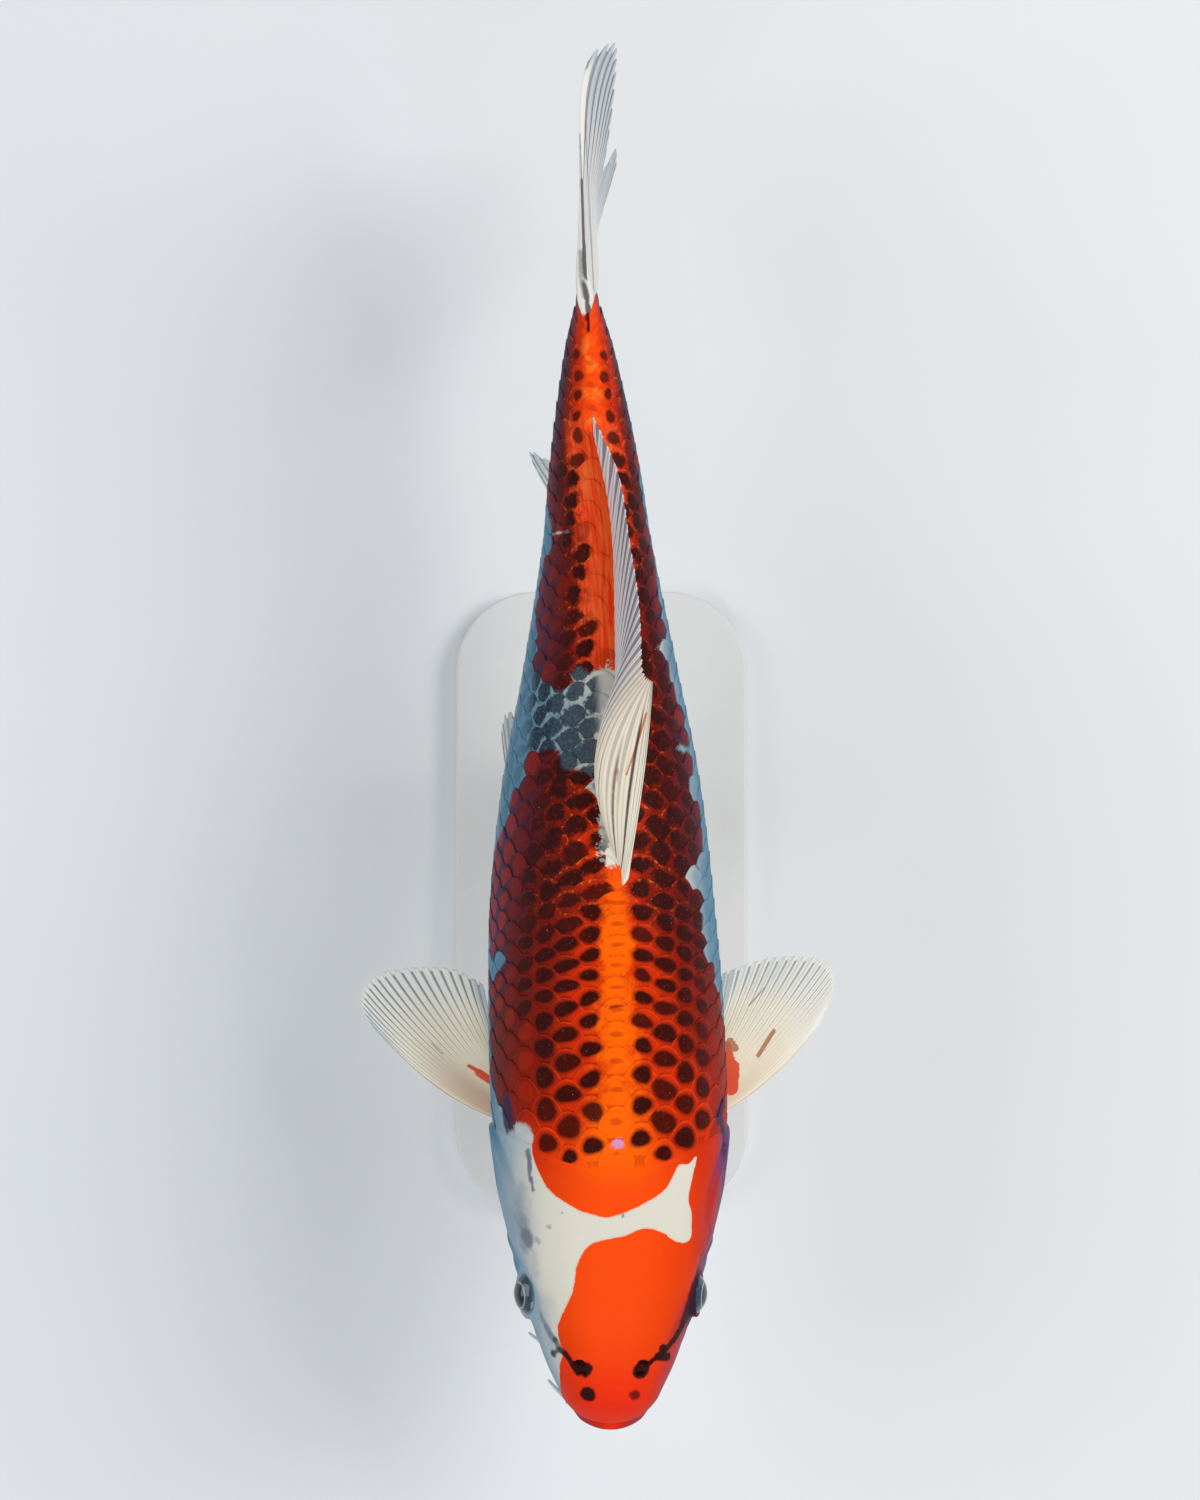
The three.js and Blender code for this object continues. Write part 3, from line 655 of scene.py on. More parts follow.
def cheek_relief(station, height):
    """The gill cover, the cheek and the bones under the eye."""
    # The gill cover is a plate with a free rear edge and a groove behind it.
    gill = gill_distance(station, height)
    behind = step(-16, 8, station - GILL_STATION)
    out = behind * (1.25 * step(-0.5, 0.7, gill) - 0.9 * hill(gill + 1.6, 1.5))
    # A second ridge in front of it, and the groove behind the cheek.
    cheek = station - (70 + 9 * hill(height + 8, 26))
    folds = 0.5 * hill(cheek + 2.5, 2.6) - 0.7 * hill(cheek, 1.1)
    out += step(-38, -26, height) * step(34, 20, height) * folds
    under_eye = np.hypot((station - EYE_STATION) / 1.15, height - EYE_HEIGHT + 3) - 14.5
    return out + step(12, -2, height) * (0.35 * hill(under_eye, 1.4) - 0.3 * hill(under_eye - 2.2, 1.1))


def nostril_relief(station, arc):
    """Two pits with raised rims and the flap between them, on each side of the snout."""
    def away(place_at, tall=1.0, wide=1.0):
        return np.hypot((station - place_at[0]) / tall, (arc - place_at[1]) / wide)

    front = away(FRONT_NOSTRIL)
    rear = away(REAR_NOSTRIL, 0.9, 1.15)
    rims = 0.55 * hill(front - 2.1, 0.75) + 0.4 * hill(rear - 2.6, 0.8)
    pits = 1.9 * step(2.0, 0.8, front) + 2.2 * step(2.5, 1.0, rear)
    return rims - pits + 1.5 * hill(away(NOSTRIL_FLAP, 0.75, 2.3), 0.9)


def seat_eyes(points):
    """The head's skin drawn in toward each eye, so that its lid hugs the globe and opens round its axis."""
    for sign in (-1, 1):
        from_eye = (points - eye_middle(sign)) / EYE_STRETCH
        away = np.linalg.norm(from_eye, axis=-1)
        turned = np.degrees(np.arccos(np.clip(from_eye @ eye_axis(sign) / away, -1, 1))) - EYE_OPENING[sign]
        lid = LID_RADIUS - 3.4 * step(3, -5, turned) + 0.45 * hill(turned - 6, 6)
        pull = step(31, 5, turned) * step(23, 16, away)
        points = points + from_eye / away[..., None] * EYE_STRETCH * ((lid - away) * pull)[..., None]
    return points


def snout_dome(angles):
    """Rows of the snout, from the mouth's cleft back to the first ring: points, stations and angles."""
    opening = MOUTH_GAP * np.sign(np.sin(angles)) * np.abs(np.sin(angles)) ** 0.5
    swing = MOUTH_WIDTH * np.cos(angles)
    slit_height = opening - MOUTH_DROP - MOUTH_CORNER_DROP * np.sin(swing) ** 2
    slit = np.stack([np.sin(swing), np.cos(swing), slit_height], axis=-1)
    section = np.stack([np.cos(angles), np.zeros(len(angles)), np.sin(angles)], axis=-1)
    turns = np.linspace(0, 1, SNOUT_ROWS)[:, None, None]
    facing = (1 - turns) * slit + turns * section
    facing = facing / np.linalg.norm(facing, axis=-1, keepdims=True)
    station = SNOUT_ROUND * (1 - facing[..., 1])
    angle = np.arctan2(facing[..., 2], facing[..., 0])
    return with_lips(surface(station, angle), angles), station, angle


def with_lips(dome, angles):
    """The snout's rows with lips that roll out of the cleft and fade into a fold behind them."""
    outward = grid_normals(dome, wrap=True)
    steps = np.cumsum(np.linalg.norm(np.diff(dome, axis=0), axis=2), axis=0)
    walked = np.concatenate([np.zeros((1, SKIN_AROUND)), steps])
    fade = 0.35 + 0.65 * step(1.0, 0.62, np.abs(np.cos(angles)))
    upper = np.sin(angles) > 0
    lip = np.where(
        upper,
        1.7 * hill(walked - 2.7, 2.2) - 0.75 * hill(walked - 6.4, 1.3),
        1.6 * hill(walked - 2.3, 2.0) - 0.6 * hill(walked - 5.6, 1.3),
    ) * fade - 1.3 * hill(walked, 0.9)
    dome = dome + outward * lip[..., None]
    dome[..., 1] += np.where(upper, 0, 1.6) * step(9, 0, walked)
    return dome


def tail_rings(end):
    """Rings that close the body in a round end inside the tail fin's root."""
    middle = end.mean(axis=0)
    rings = []
    for run in TAIL_RUNS:
        ring = end.copy()
        share = math.sqrt(1 - (run / TAIL_ROUND) ** 2)
        ring[:, 0] = middle[0] + (end[:, 0] - middle[0]) * share - TAIL_DRIFT * run
        ring[:, 1] += run
        rings.append(ring)
    return np.array(rings)


def build_skin(material):
    """One closed skin: throat, snout, head and body rows, and the rounded end of the tail's root."""
    stations = np.concatenate([
        np.arange(SNOUT_ROUND, HEAD_ROWS_END, HEAD_STEP)[1:],
        np.arange(HEAD_ROWS_END, BODY_END, BODY_STEP),
        [BODY_END],
    ])
    shares = np.arange(SKIN_AROUND) / SKIN_AROUND - 0.5
    # The ring where the dome of the snout begins gives the angles of its columns.
    angles = arc_to_angle(float(SNOUT_ROUND), -shares * girth(SNOUT_ROUND))
    dome, dome_station, dome_angle = snout_dome(angles)
    throat = np.array([dome[0] + np.array([0, 1.0, 0.12]) * depth for depth in THROAT_DEPTHS])
    arcs = -shares[None, :] * girth(stations)[:, None]
    body_angle = arc_to_angle(stations[:, None], arcs)
    covered = step(-1.5, 1.0, stations[:, None] - nape_line(arcs))
    body = surface(stations[:, None], body_angle, grow=-COAT_DEPTH * covered)
    closing = tail_rings(body[-1])
    points = np.concatenate([throat, dome, body, closing])
    rows = len(points)

    def first(rows_of, like):
        return np.repeat(rows_of[:1], len(like), axis=0)

    angle = np.concatenate([
        first(dome_angle, throat), dome_angle, body_angle, first(body_angle[-1:], closing),
    ])
    station = np.concatenate([
        first(dome_station, throat), dome_station,
        np.repeat(stations[:, None], SKIN_AROUND, axis=1), closing[..., 1],
    ])
    snout_rows = len(throat) + len(dome)
    arc = np.concatenate([
        snout_arcs(station[:snout_rows], angle[:snout_rows]), arcs, first(arcs[-1:], closing),
    ])
    side, rise = flank(np.minimum(station, BODY_END), angle)
    relief = head_relief(station, arc, side, rise + widest_level(station)) * step(132, 124, station)
    relief[: len(throat) + 6] = 0
    points = seat_eyes(points + grid_normals(points, wrap=True) * relief[..., None])
    # Painted shade on the skin where the scales cover it, left out beside the front of the back fin.
    cover = step(-1, 3, station - nape_line(arc)) * step(439, 432, station)
    cover *= 1 - step(210, 220, station) * step(17, 12, np.abs(arc))
    mouth = np.arange(rows)[:, None] < len(throat) + 3
    attributes = {
        **flat_marks(station, arc), "red": red_distance(station, arc), "cover": cover,
        "mouth": np.broadcast_to(mouth, station.shape).astype(float), "eye_ring": eye_ring(points),
    }
    attributes = {
        key: np.concatenate([value.ravel(), [value[0].mean(), value[-1].mean()]])
        for key, value in attributes.items()
    }
    points, (quads, caps) = capped_tube(points)
    caps = caps[:, [0, 2, 1]]
    quad_uv = tube_uv(np.linspace(0.01, 0.99, rows), np.linspace(0.01, 0.99, SKIN_AROUND + 1))
    cap_uv = np.repeat([0.005, 0.995], 3 * SKIN_AROUND)[:, None].repeat(2, axis=1)
    uvs = np.concatenate([quad_uv[:, ::-1].reshape(-1, 2), cap_uv])
    piece = new_mesh("skin", place(points), [quads[:, ::-1], caps], uvs, attributes)
    finish_piece(piece, material, FLESH)


FLESH = (
    "head", "upper_jaw", "lower_jaw", "gill_cover_left", "gill_cover_right",
    "trunk_front", "trunk_rear", "tail_stem",
)


def snout_arcs(station, angle):
    """Arcs of the skin's points on the snout, from the angle at each point's own station."""
    order = np.searchsorted(TABLE_STATIONS, np.maximum(station, 0.5)).clip(0, len(TABLE_STATIONS) - 1)
    angle = np.where(angle < -np.pi / 2, angle + 2 * np.pi, angle)
    arc = np.empty(angle.shape)
    for r in np.unique(order):
        pick = order == r
        arc[pick] = np.interp(angle[pick], TABLE_ANGLES, TABLE_ARCS[r])
    return arc


def eye_ring(points):
    """1 on the skin right round an eye, falling to 0 away from it."""
    near = [np.linalg.norm((points - eye_middle(sign)) / EYE_STRETCH, axis=-1) for sign in (-1, 1)]
    return step(11.6, 9.6, np.minimum(*near))


# ---- scales ----

SCALE_QUADS = 12
SCALE_HALF_LENGTH = 0.6
SCALE_HALF_WIDTH = 0.8
# Millimetres over the body's surface: a scale's root, the rise to its rear edge, its dome, how much its lip
# and its root dip, its thickness, and how much the rise differs from scale to scale.
SCALE_BED = -0.82
SCALE_LIFT = 0.6
SCALE_DOME = 0.10
SCALE_LIP = 0.1
SCALE_ROOT_DIP = 0.3
SCALE_RIM = 0.2
SCALE_UNEVEN = 0.08
BODY_PIECES = ("shoulder", "back", "rump", "stem")
PIECE_STATIONS = (0, 190, 262, 345, 500)
DORSAL_START = 214
DORSAL_END = 394
MID_ROW = 8
MID_ROW_END = 216
STEM_MID_ROW = 4
STEM_START = 395
BELLY_ROW = -20
# The middle point of a scale's grid, in a list so that picking it keeps the points' axis.
SCALE_MIDDLE = [(SCALE_QUADS + 1) ** 2 // 2]

scale_length = through([
    (105, 13.8), (119, 13.4), (140, 12), (160, 10), (175, 8.5), (190, 8.0), (205, 8.3), (225, 9.6), (250, 10),
    (275, 9.2), (300, 8.5), (447, 8.2),
])
rows_to_back = through([(105, 8), (215, 8), (260, 7.4), (300, 6.6), (350, 5.4), (395, 4), (447, 4)])
_fine = np.linspace(60, 480, 4201)
_count = np.concatenate([[0], np.cumsum(0.1 / scale_length(_fine[:-1]))])
_count -= np.interp(118.2, _fine, _count)


def row_arc(row, station):
    """Arc of a row of scales: row 0 runs along the widest level, higher rows nearer the back."""
    station = np.minimum(station, BODY_END)
    share = 1 - row / rows_to_back(station)
    above = np.minimum(share, 1)
    return level_arc(station) * (above * (0.9 + 0.1 * above ** 2) + 1.2 * np.maximum(share - 1, 0))


def row_pitch(row, station):
    """Distance from a row to the next, round the body."""
    station = np.minimum(station, BODY_END)
    share = 1 - row / rows_to_back(station)
    return level_arc(station) / rows_to_back(station) * (0.9 + 0.3 * np.minimum(share, 1) ** 2)


def scale_seats():
    """Station, arc, row, side and count along its row of every scale."""
    seats = []
    for row in range(MID_ROW, -13, -1):
        shift = 0.5 if row % 2 == 0 else 0.0
        for count in np.arange(-3, 60) + shift:
            station = float(np.interp(count, _count, _fine))
            if station > 442:
                continue
            arc = float(row_arc(row, station))
            pitch = float(row_pitch(row, station))
            half = girth(min(station, BODY_END)) / 2
            middle = row == MID_ROW and station < MID_ROW_END
            middle = middle or (row == STEM_MID_ROW and station > STEM_START)
            if not middle and (arc < 0.35 * pitch or arc > half - 0.3 * pitch):
                continue
            if DORSAL_START < station < DORSAL_END and arc < 3.2:
                continue
            for side in (1,) if middle else (1, -1):
                # The rows of the right side sit a little further forward over the shoulders.
                seat = station - (2.4 * step(180, 120, station) if side < 0 else 0)
                length = float(scale_length(seat))
                if seat - 0.45 * length < float(nape_line(side * arc)) - 9:
                    continue
                seats.append((seat, 0.0 if middle else side * arc, row, side, count))
    for count in np.arange(-3, 60):
        station = float(np.interp(count, _count, _fine))
        if 118 < station < 440:
            seats.append((station, float(girth(station)) / 2, BELLY_ROW, 1, count))
    return np.array(seats)


def scale_template():
    """Grid of one scale: a along it in lengths, b across it in row pitches, and the distance to its edge."""
    side = np.linspace(-1, 1, SCALE_QUADS + 1)
    across = SCALE_HALF_WIDTH * np.sin(side * np.pi / 2)[None, :]
    rear = SCALE_HALF_LENGTH - np.abs(across) ** 2.2
    along = np.linspace(0, 1, SCALE_QUADS + 1)[:, None] ** 0.8
    a = (rear + SCALE_HALF_LENGTH) * along - SCALE_HALF_LENGTH
    b = across * (1 - 0.16 * (1 - along) ** 2)
    return a[None], b[None], (rear - a)[None]


def scale_faces():
    """Faces of one closed scale: the top grid, the rim below its edge and the fan under it."""
    n = SCALE_QUADS + 1
    rim = grid_rim(n, n)
    low = n * n + np.arange(len(rim))
    after = np.roll(rim, -1)
    low_after = np.roll(low, -1)
    skirt = np.stack([after, rim, low, low_after], axis=-1)
    centre = n * n + len(rim)
    under = np.stack([low_after, low, np.full(len(rim), centre)], axis=-1)
    return np.concatenate([grid_faces(n, n), skirt]), under, rim


def body_point(station, arc):
    """A point of the body surface and its outward normal, at a station and arc."""
    def at(s, w):
        return surface(np.minimum(s, BODY_END), arc_to_angle(np.minimum(s, BODY_END), w)) + np.stack(
            [np.zeros(np.shape(s)), np.maximum(s - BODY_END, 0), np.zeros(np.shape(s))], axis=-1
        )

    here = at(station, arc)
    along = at(station + 0.6, arc) - at(station - 0.6, arc)
    across = at(station, arc - 0.6) - at(station, arc + 0.6)
    normal = np.cross(along, across)
    return here, normal / np.linalg.norm(normal, axis=-1, keepdims=True)


def per_scale(*values):
    """Values of the scales, shaped to meet the grid of each one."""
    return [value[:, None, None] for value in values]


def spot_sizes(station, arc, row):
    """Half sizes of each scale's spot, across it in pitches and along it in lengths, and its strength."""
    near = np.abs(arc)
    across = np.interp(row, [3, 5, 6, 7, 8], [0.46, 0.49, 0.56, 0.42, 0.26])
    along = np.interp(row, [3, 5, 6, 7, 8], [0.31, 0.33, 0.31, 0.27, 0.09])
    strength = np.interp(row, [-4, 0, 3, 4, 5], [0.0, 0.3, 0.55, 0.9, 1.0])
    # Faint low on the shoulders, and smaller at the front of the patch.
    faint_right = np.interp(row, [3, 4, 5], [0.2, 0.35, 1])
    faint_left = np.interp(row, [1, 2, 3, 4], [0, 0.4, 0.9, 1])
    faint = np.where(arc < 0, faint_right, faint_left)
    strength = strength * (1 + step(172, 158, station) * (faint - 1))
    young = 0.62 + 0.38 * step(108, 120, station)
    strength = strength * step(105, 109, station) * np.where(row == MID_ROW, 0.36, 1)
    strength = strength * (1 - step(112, 110.5, station) * step(14, 12.5, near))
    # Larger beside the front of the back fin, where they run together.
    grown = step(180, 205, station) * step(318, 296, station) * (row < MID_ROW)
    across = across + 0.03 * grown
    along = along + 0.07 * grown
    # Larger still on the slate saddle.
    saddle = step(246, 256, station) * step(318, 306, station) * (arc < -6) * (arc > -48)
    across = across + 0.05 * saddle
    along = along + 0.03 * saddle
    # A clean strip beside the rear of the fin, then round crisp spots, and only small ones on the stem.
    rear = step(298, 308, station)
    stem = step(380, 398, station)
    across = across + rear * (0.45 - across)
    along = along + rear * (0.40 - along)
    clean = 10.2 - 6.5 * stem - 3.6 * (arc > 0) * (1 - stem)
    strength = strength + rear * (1 - strength)
    strength = strength * (1 - rear * step(clean + 0.8, clean - 0.8, near))
    low = step(18, 24, near)
    strength = strength * (1 - 0.45 * rear * low)
    size = (1 - 0.34 * stem) * young
    strength = strength * (1 - stem * step(9.5, 12.5, near)) * (1 - 0.25 * stem) * step(431, 425, station)
    middle = (row == STEM_MID_ROW) & (station > STEM_START)
    strength = np.where(middle, 0.3 * step(427, 421, station), strength)
    return np.where(middle, 0.26, across * size), np.where(middle, 0.12, along * size), strength


def spot_field(seat, a, b, length, pitch, chance):
    """How far into each scale's spot a place is, 1 in its middle and 0 on its outline, and its strength."""
    station, arc, row = seat[:, :3].T
    across, along, strength = spot_sizes(station, arc, row)
    shaken = step(190, 225, station)
    uneven = 0.10 + 0.16 * shaken
    across = across * (1 + uneven * (chance[:, 1] - 0.5) * 2)
    along = along * (1 + uneven * (chance[:, 5] - 0.5) * 2)
    strength = np.clip(strength * (1.06 - 0.2 * chance[:, 2] ** 3), 0, 1)
    tilt = np.radians(np.where(row == MID_ROW, 0, 12 + 16 * chance[:, 3]))
    drift = (chance - 0.5) * (0.7 + 1.3 * shaken * (row != MID_ROW))[:, None]
    # The spots of the front row lie further back, clear of the skin's edge.
    rearward = 1.9 * step(112, 110.5, station)
    across, along, strength, tilt = per_scale(across, along, strength, tilt)
    phase, side = per_scale(chance[:, 4] * 2 * np.pi, seat[:, 3])
    aside, behind = per_scale(drift[:, 2], drift[:, 1] - rearward)
    out = b * pitch * side + aside
    back = (a - 0.10) * length + behind
    x = (out * np.cos(tilt) - back * np.sin(tilt)) / (across * pitch)
    y = (out * np.sin(tilt) + back * np.cos(tilt)) / (along * length)
    round_it = np.arctan2(y, x)
    lumps = 1 + 0.07 * np.sin(2 * round_it + phase) + 0.07 * np.sin(3 * round_it + 2.3 * phase)
    return 1 - np.hypot(x, y) / lumps, np.broadcast_to(strength, x.shape)


def scale_arcs(seat, b, pitch, station):
    """Arc of every point of the scales, each of which follows its own row."""
    wide = 1 + 0.25 * step(200, 216, seat[:, 0]) * (seat[:, 2] >= MID_ROW - 1)
    drift = np.zeros(station.shape)
    for row in np.unique(seat[:, 2]):
        if row == BELLY_ROW:
            continue
        pick = (seat[:, 2] == row) & (seat[:, 1] != 0)
        centre_arc = row_arc(row, seat[pick, 0])[:, None, None]
        drift[pick] = (row_arc(row, station[pick]) - centre_arc) * seat[pick, 3, None, None]
    return seat[:, 1, None, None] + drift + b * pitch * wide[:, None, None]


def scale_points(station, arc, template, rim, uneven):
    """Points of the scales: the top grid, the rim under its edge and one in the middle of the underside."""
    a, b, edge = template
    base, normal = body_point(station, arc)
    from_root = a + SCALE_HALF_LENGTH
    height = SCALE_BED + SCALE_LIFT * from_root / (2 * SCALE_HALF_LENGTH) + uneven * from_root
    height = height + SCALE_DOME * (1 - (b / SCALE_HALF_WIDTH) ** 2) * step(-0.6, 0.2, a)
    height = height - SCALE_LIP * step(0.05, 0.0, edge) - SCALE_ROOT_DIP * step(-0.4, -0.58, a)
    count = len(station)
    upper = (base + normal * height[..., None]).reshape(count, -1, 3)
    normal = normal.reshape(count, -1, 3)
    lower = upper[:, rim] - normal[:, rim] * SCALE_RIM
    core = upper[:, SCALE_MIDDLE] - normal[:, SCALE_MIDDLE] * (SCALE_RIM + 0.05)
    return np.concatenate([upper, lower, core], axis=1)


def build_scales(material):
    """Every scale as a closed plate, in four joined pieces from the nape to the tail."""
    seat = scale_seats()
    template = scale_template()
    a, b, edge = template
    quads, under, rim = scale_faces()
    count = len(seat)
    chance = np.random.default_rng(31).uniform(0, 1, (count, 6))
    row = np.where(seat[:, 2] == BELLY_ROW, 0, seat[:, 2])
    length, pitch = per_scale(scale_length(seat[:, 0]), row_pitch(row, seat[:, 0]))
    station = seat[:, 0, None, None] + a * length
    arc = scale_arcs(seat, b, pitch, station)
    uneven = (chance[:, 0, None, None] - 0.5) * SCALE_UNEVEN
    points = scale_points(station, arc, template, rim, uneven)

    def spread(values):
        values = np.broadcast_to(values, station.shape).reshape(count, -1)
        return np.concatenate([values, values[:, rim], values[:, SCALE_MIDDLE]], axis=1)

    red_seat = red_distance(seat[:, 0], seat[:, 1])[:, None, None]
    spot, depth = spot_field(seat, a, b, length, pitch, chance)
    attributes = {
        **flat_marks(station, arc),
        "red": 0.62 * red_seat + 0.38 * red_distance(station, arc), "spot": spot, "depth": depth,
        "edge": edge, "chance": chance[:, 3, None, None], "across": b,
    }
    attributes = {key: spread(value) for key, value in attributes.items()}
    u = spread((a + SCALE_HALF_LENGTH) / (2 * SCALE_HALF_LENGTH))
    v = spread((b + SCALE_HALF_WIDTH) / (2 * SCALE_HALF_WIDTH))
    patch = np.stack([u, v], axis=-1)
    for name, start, end in zip(BODY_PIECES, PIECE_STATIONS, PIECE_STATIONS[1:]):
        pick = (seat[:, 0] >= start) & (seat[:, 0] < end)
        cell, cells = scale_cells(seat[pick])
        uv_points = (patch[pick] * 0.84 + 0.08 + cell[:, None]) / cells
        starts = (np.arange(int(pick.sum())) * points.shape[1])[:, None, None]
        faces = piece_faces(quads, under, starts)
        corners = np.concatenate([group.ravel() for group in faces])
        uvs = uv_points.reshape(-1, 2)[corners]
        chosen = {key: value[pick].ravel() for key, value in attributes.items()}
        piece = new_mesh(f"scales_{name}", place(points[pick].reshape(-1, 3)), faces, uvs, chosen)
        finish_piece(piece, material)


def piece_faces(quads, under, starts):
    """The faces of one scale repeated from each of the starts."""
    return [(group[None] + starts).reshape(-1, group.shape[1]) for group in (quads, under)]


def scale_cells(seat):
    """Cell of every scale in its piece's flat map, by its place on the body, and how many cells each way."""
    column = np.round((seat[:, 4] - seat[:, 4].min()) * 2).astype(int) // 2
    round_body = np.where(seat[:, 2] == BELLY_ROW, 0, (seat[:, 2] - 9) * seat[:, 3])
    row = np.round(round_body - round_body.min()).astype(int)
    return np.stack([column, row], axis=-1).astype(float), np.array([column.max() + 1, row.max() + 1], float)


# ---- fins ----


def edge_at(points, share):
    """Points along a smooth open edge, at shares from 0 to 1."""
    line = smooth_line(points, steps=24, closed=False)
    at = np.clip(share, 0, 1) * (len(line) - 1)
    index = np.arange(len(line))
    return np.stack([np.interp(at, index, line[:, axis]) for axis in range(3)], axis=-1)


def fan_surface(fin):
    """The middle surface of a fin from its root edge to its margin, as a function of u and v."""
    bows = [through([(u, offset[axis]) for u, offset in fin["bow"]]) for axis in range(3)]

    def at(u, v):
        start = edge_at(fin["root"], u)
        end = edge_at(fin["margin"], u)
        bow = np.stack([bow(u) for bow in bows], axis=-1)
        middle = (start + end) / 2 + bow
        v = v[..., None]
        return (1 - v) ** 2 * start + 2 * v * (1 - v) * middle + v * v * end

    return at


WEB_HALF = 0.13
# On each fin, u runs from its front ray to its last and v from its root to its margin. The gaps between its
# rays open from a share of the way out, and "bow" moves its middle surface at some shares of u.
BROAD_RAYS = {"rays": 22, "columns": 10, "strands": 2, "gap_from": 0.40, "gap": 0.13, "ray_height": 0.28}
PLAIN_RAYS = {"rays": 9, "columns": 12, "strands": 3, "gap_from": 0.3, "gap": 0.2, "ray_height": 0.26}
FINS = {
    "pectoral_fin_right": {
        "root": [(-34, 117, -24), (-35, 124, -30), (-34, 131, -35)],
        "margin": [
            (-93, 156, -45), (-98, 165, -45), (-97.4, 173, -44.5), (-90, 179, -44), (-76, 181.2, -43),
            (-61, 180.5, -41.5), (-48, 174, -41),
        ],
        "bow": [(0, (-3, -11, 3)), (1, (-4, 1, 2))],
        "root_depth": 1.7, "curl": 0.9, "spine": 0.9, "seed": 3, **BROAD_RAYS,
    },
    "pectoral_fin_left": {
        "root": [(38, 117, -24), (39, 124, -30), (38, 131, -35)],
        "margin": [
            (89.5, 158.5, -45), (94.6, 169, -45), (95.4, 177, -44.5), (91, 183.8, -44), (78, 185.8, -43),
            (64, 184, -42), (49, 178.5, -41),
        ],
        "bow": [(0, (3, -9, 3)), (1, (3, 2, 2))],
        "root_depth": 1.7, "curl": 0.9, "spine": 0.9, "seed": 4, **BROAD_RAYS,
    },
    "pelvic_fin_right": {
        "root": [(-25, 216, -40), (-21, 221, -43), (-16, 226, -45)],
        "margin": [(-41, 276, -53), (-39, 285, -54), (-29, 284, -55), (-20, 274, -56)],
        "bow": [(0, (-7, 0, 0)), (1, (-1, 0, 0))],
        "root_depth": 1.6, "curl": 0.6, "spine": 0.5, "seed": 5, **PLAIN_RAYS,
    },
    "pelvic_fin_left": {
        "root": [(24, 216, -40), (20, 221, -43), (15, 226, -45)],
        "margin": [(33.5, 280, -54), (31, 287, -55), (23.5, 284, -56), (16, 275, -57)],
        "bow": [(0, (6, 0, 0)), (1, (1, 0, 0))],
        "root_depth": 1.6, "curl": 0.6, "spine": 0.5, "seed": 6, **PLAIN_RAYS,
    },
    "anal_fin": {
        "root": [(-2, 344, -22), (-2.5, 358, -20), (-3, 373, -17)],
        "margin": [(-27.5, 387, -65), (-29.5, 393, -61), (-23, 389, -50), (-15, 386, -38), (-8, 384, -29)],
        "bow": [(0, (-1, -3, -5)), (1, (0, 0, -1))],
        "root_depth": 1.6, "curl": 0.5, "spine": 0.6, "seed": 7, **PLAIN_RAYS, "rays": 7,
    },
    "dorsal_fin": {
        "root": [
            (8.8, 216, 67.5), (6.4, 238, 62), (5, 266, 56), (5, 305, 47), (3.6, 355, 34), (-2.6, 392, 26),
        ],
        "margin": [
            (19.6, 296, 81), (16, 301, 80), (14.5, 326, 73), (10.6, 352, 64), (6.2, 377, 52), (-3.8, 400, 42),
        ],
        "bow": [
            (0, (3, 0, 6)), (0.05, (-4, 0, 7)), (0.12, (-25, 0, 8)), (0.25, (-23, 0, 7)),
            (0.4, (-7, 0, 5)), (0.6, (-1, 0, 4)), (1, (0, 0, 2)),
        ],
        "rays": 28, "columns": 12, "strands": 2, "gap_from": 0.12, "gap": 0.27, "ray_height": 0.34,
        "crowd": 1.5, "notch": 0.006,
        "root_depth": 1.3, "curl": 0.35, "spine": 0.8, "seed": 8, "rows": 88,
    },
}

TAIL_SIDES = {
    "upper": through([(447, -6.4), (456, -8), (466, -8.2), (507, -8.4), (523, -7.8), (534, -5), (542, 0)]),
    "middle": through([
        (447, -5.6), (453, -3.4), (460, -2.2), (490, -1.8), (500, 0.2), (512, 3), (527, 7), (542, 12),
    ]),
    "lower": through([(447, -5.6), (458, -6.8), (472, -5.2), (490, 0), (508, 5.4), (519, 7.6), (542, 9)]),
}
TAIL_TWIST = 2.2
TAIL_MARGIN = [
    (0, 537, 74), (0, 542, 67), (0, 538, 52), (0, 527, 34), (0, 512, 15), (0, 501, 0),
    (0, 502, -14), (0, 508, -33), (0, 515, -51), (0, 518, -63), (0, 512, -70),
]
tail_root = through([(0, 28), (0.1, 23), (0.5, 2), (0.9, -19), (1, -23)])
TAIL_START = BODY_END - 8
FORK = 0.5
TAIL_LOBE = {
    "rays": 11, "columns": 12, "strands": 3, "gap_from": 0.34, "gap": 0.26, "ray_height": 0.3,
    "curl": 0.3, "rows": 88, "spine": 0.35, "swell": 2.7,
}


def tail_surface(first, last):
    """The middle surface of a tail lobe, between two shares of the whole fan."""
    def at(u, v):
        share = first + (last - first) * u
        end = edge_at(TAIL_MARGIN, share)
        splay = np.sin(np.pi * v / 2) * 0.35 + v * 0.65
        station = TAIL_START + (end[..., 1] - TAIL_START) * v
        height = tail_root(share) + (end[..., 2] - tail_root(share)) * splay
        tilt = np.abs(1 - 2 * share) ** TAIL_TWIST
        level = np.clip(station, BODY_END, 542)
        middle = TAIL_SIDES["middle"](level)
        outer = np.where(share < FORK, TAIL_SIDES["upper"](level), TAIL_SIDES["lower"](level))
        return np.stack([middle + (outer - middle) * tilt, station, height], axis=-1)

    return at


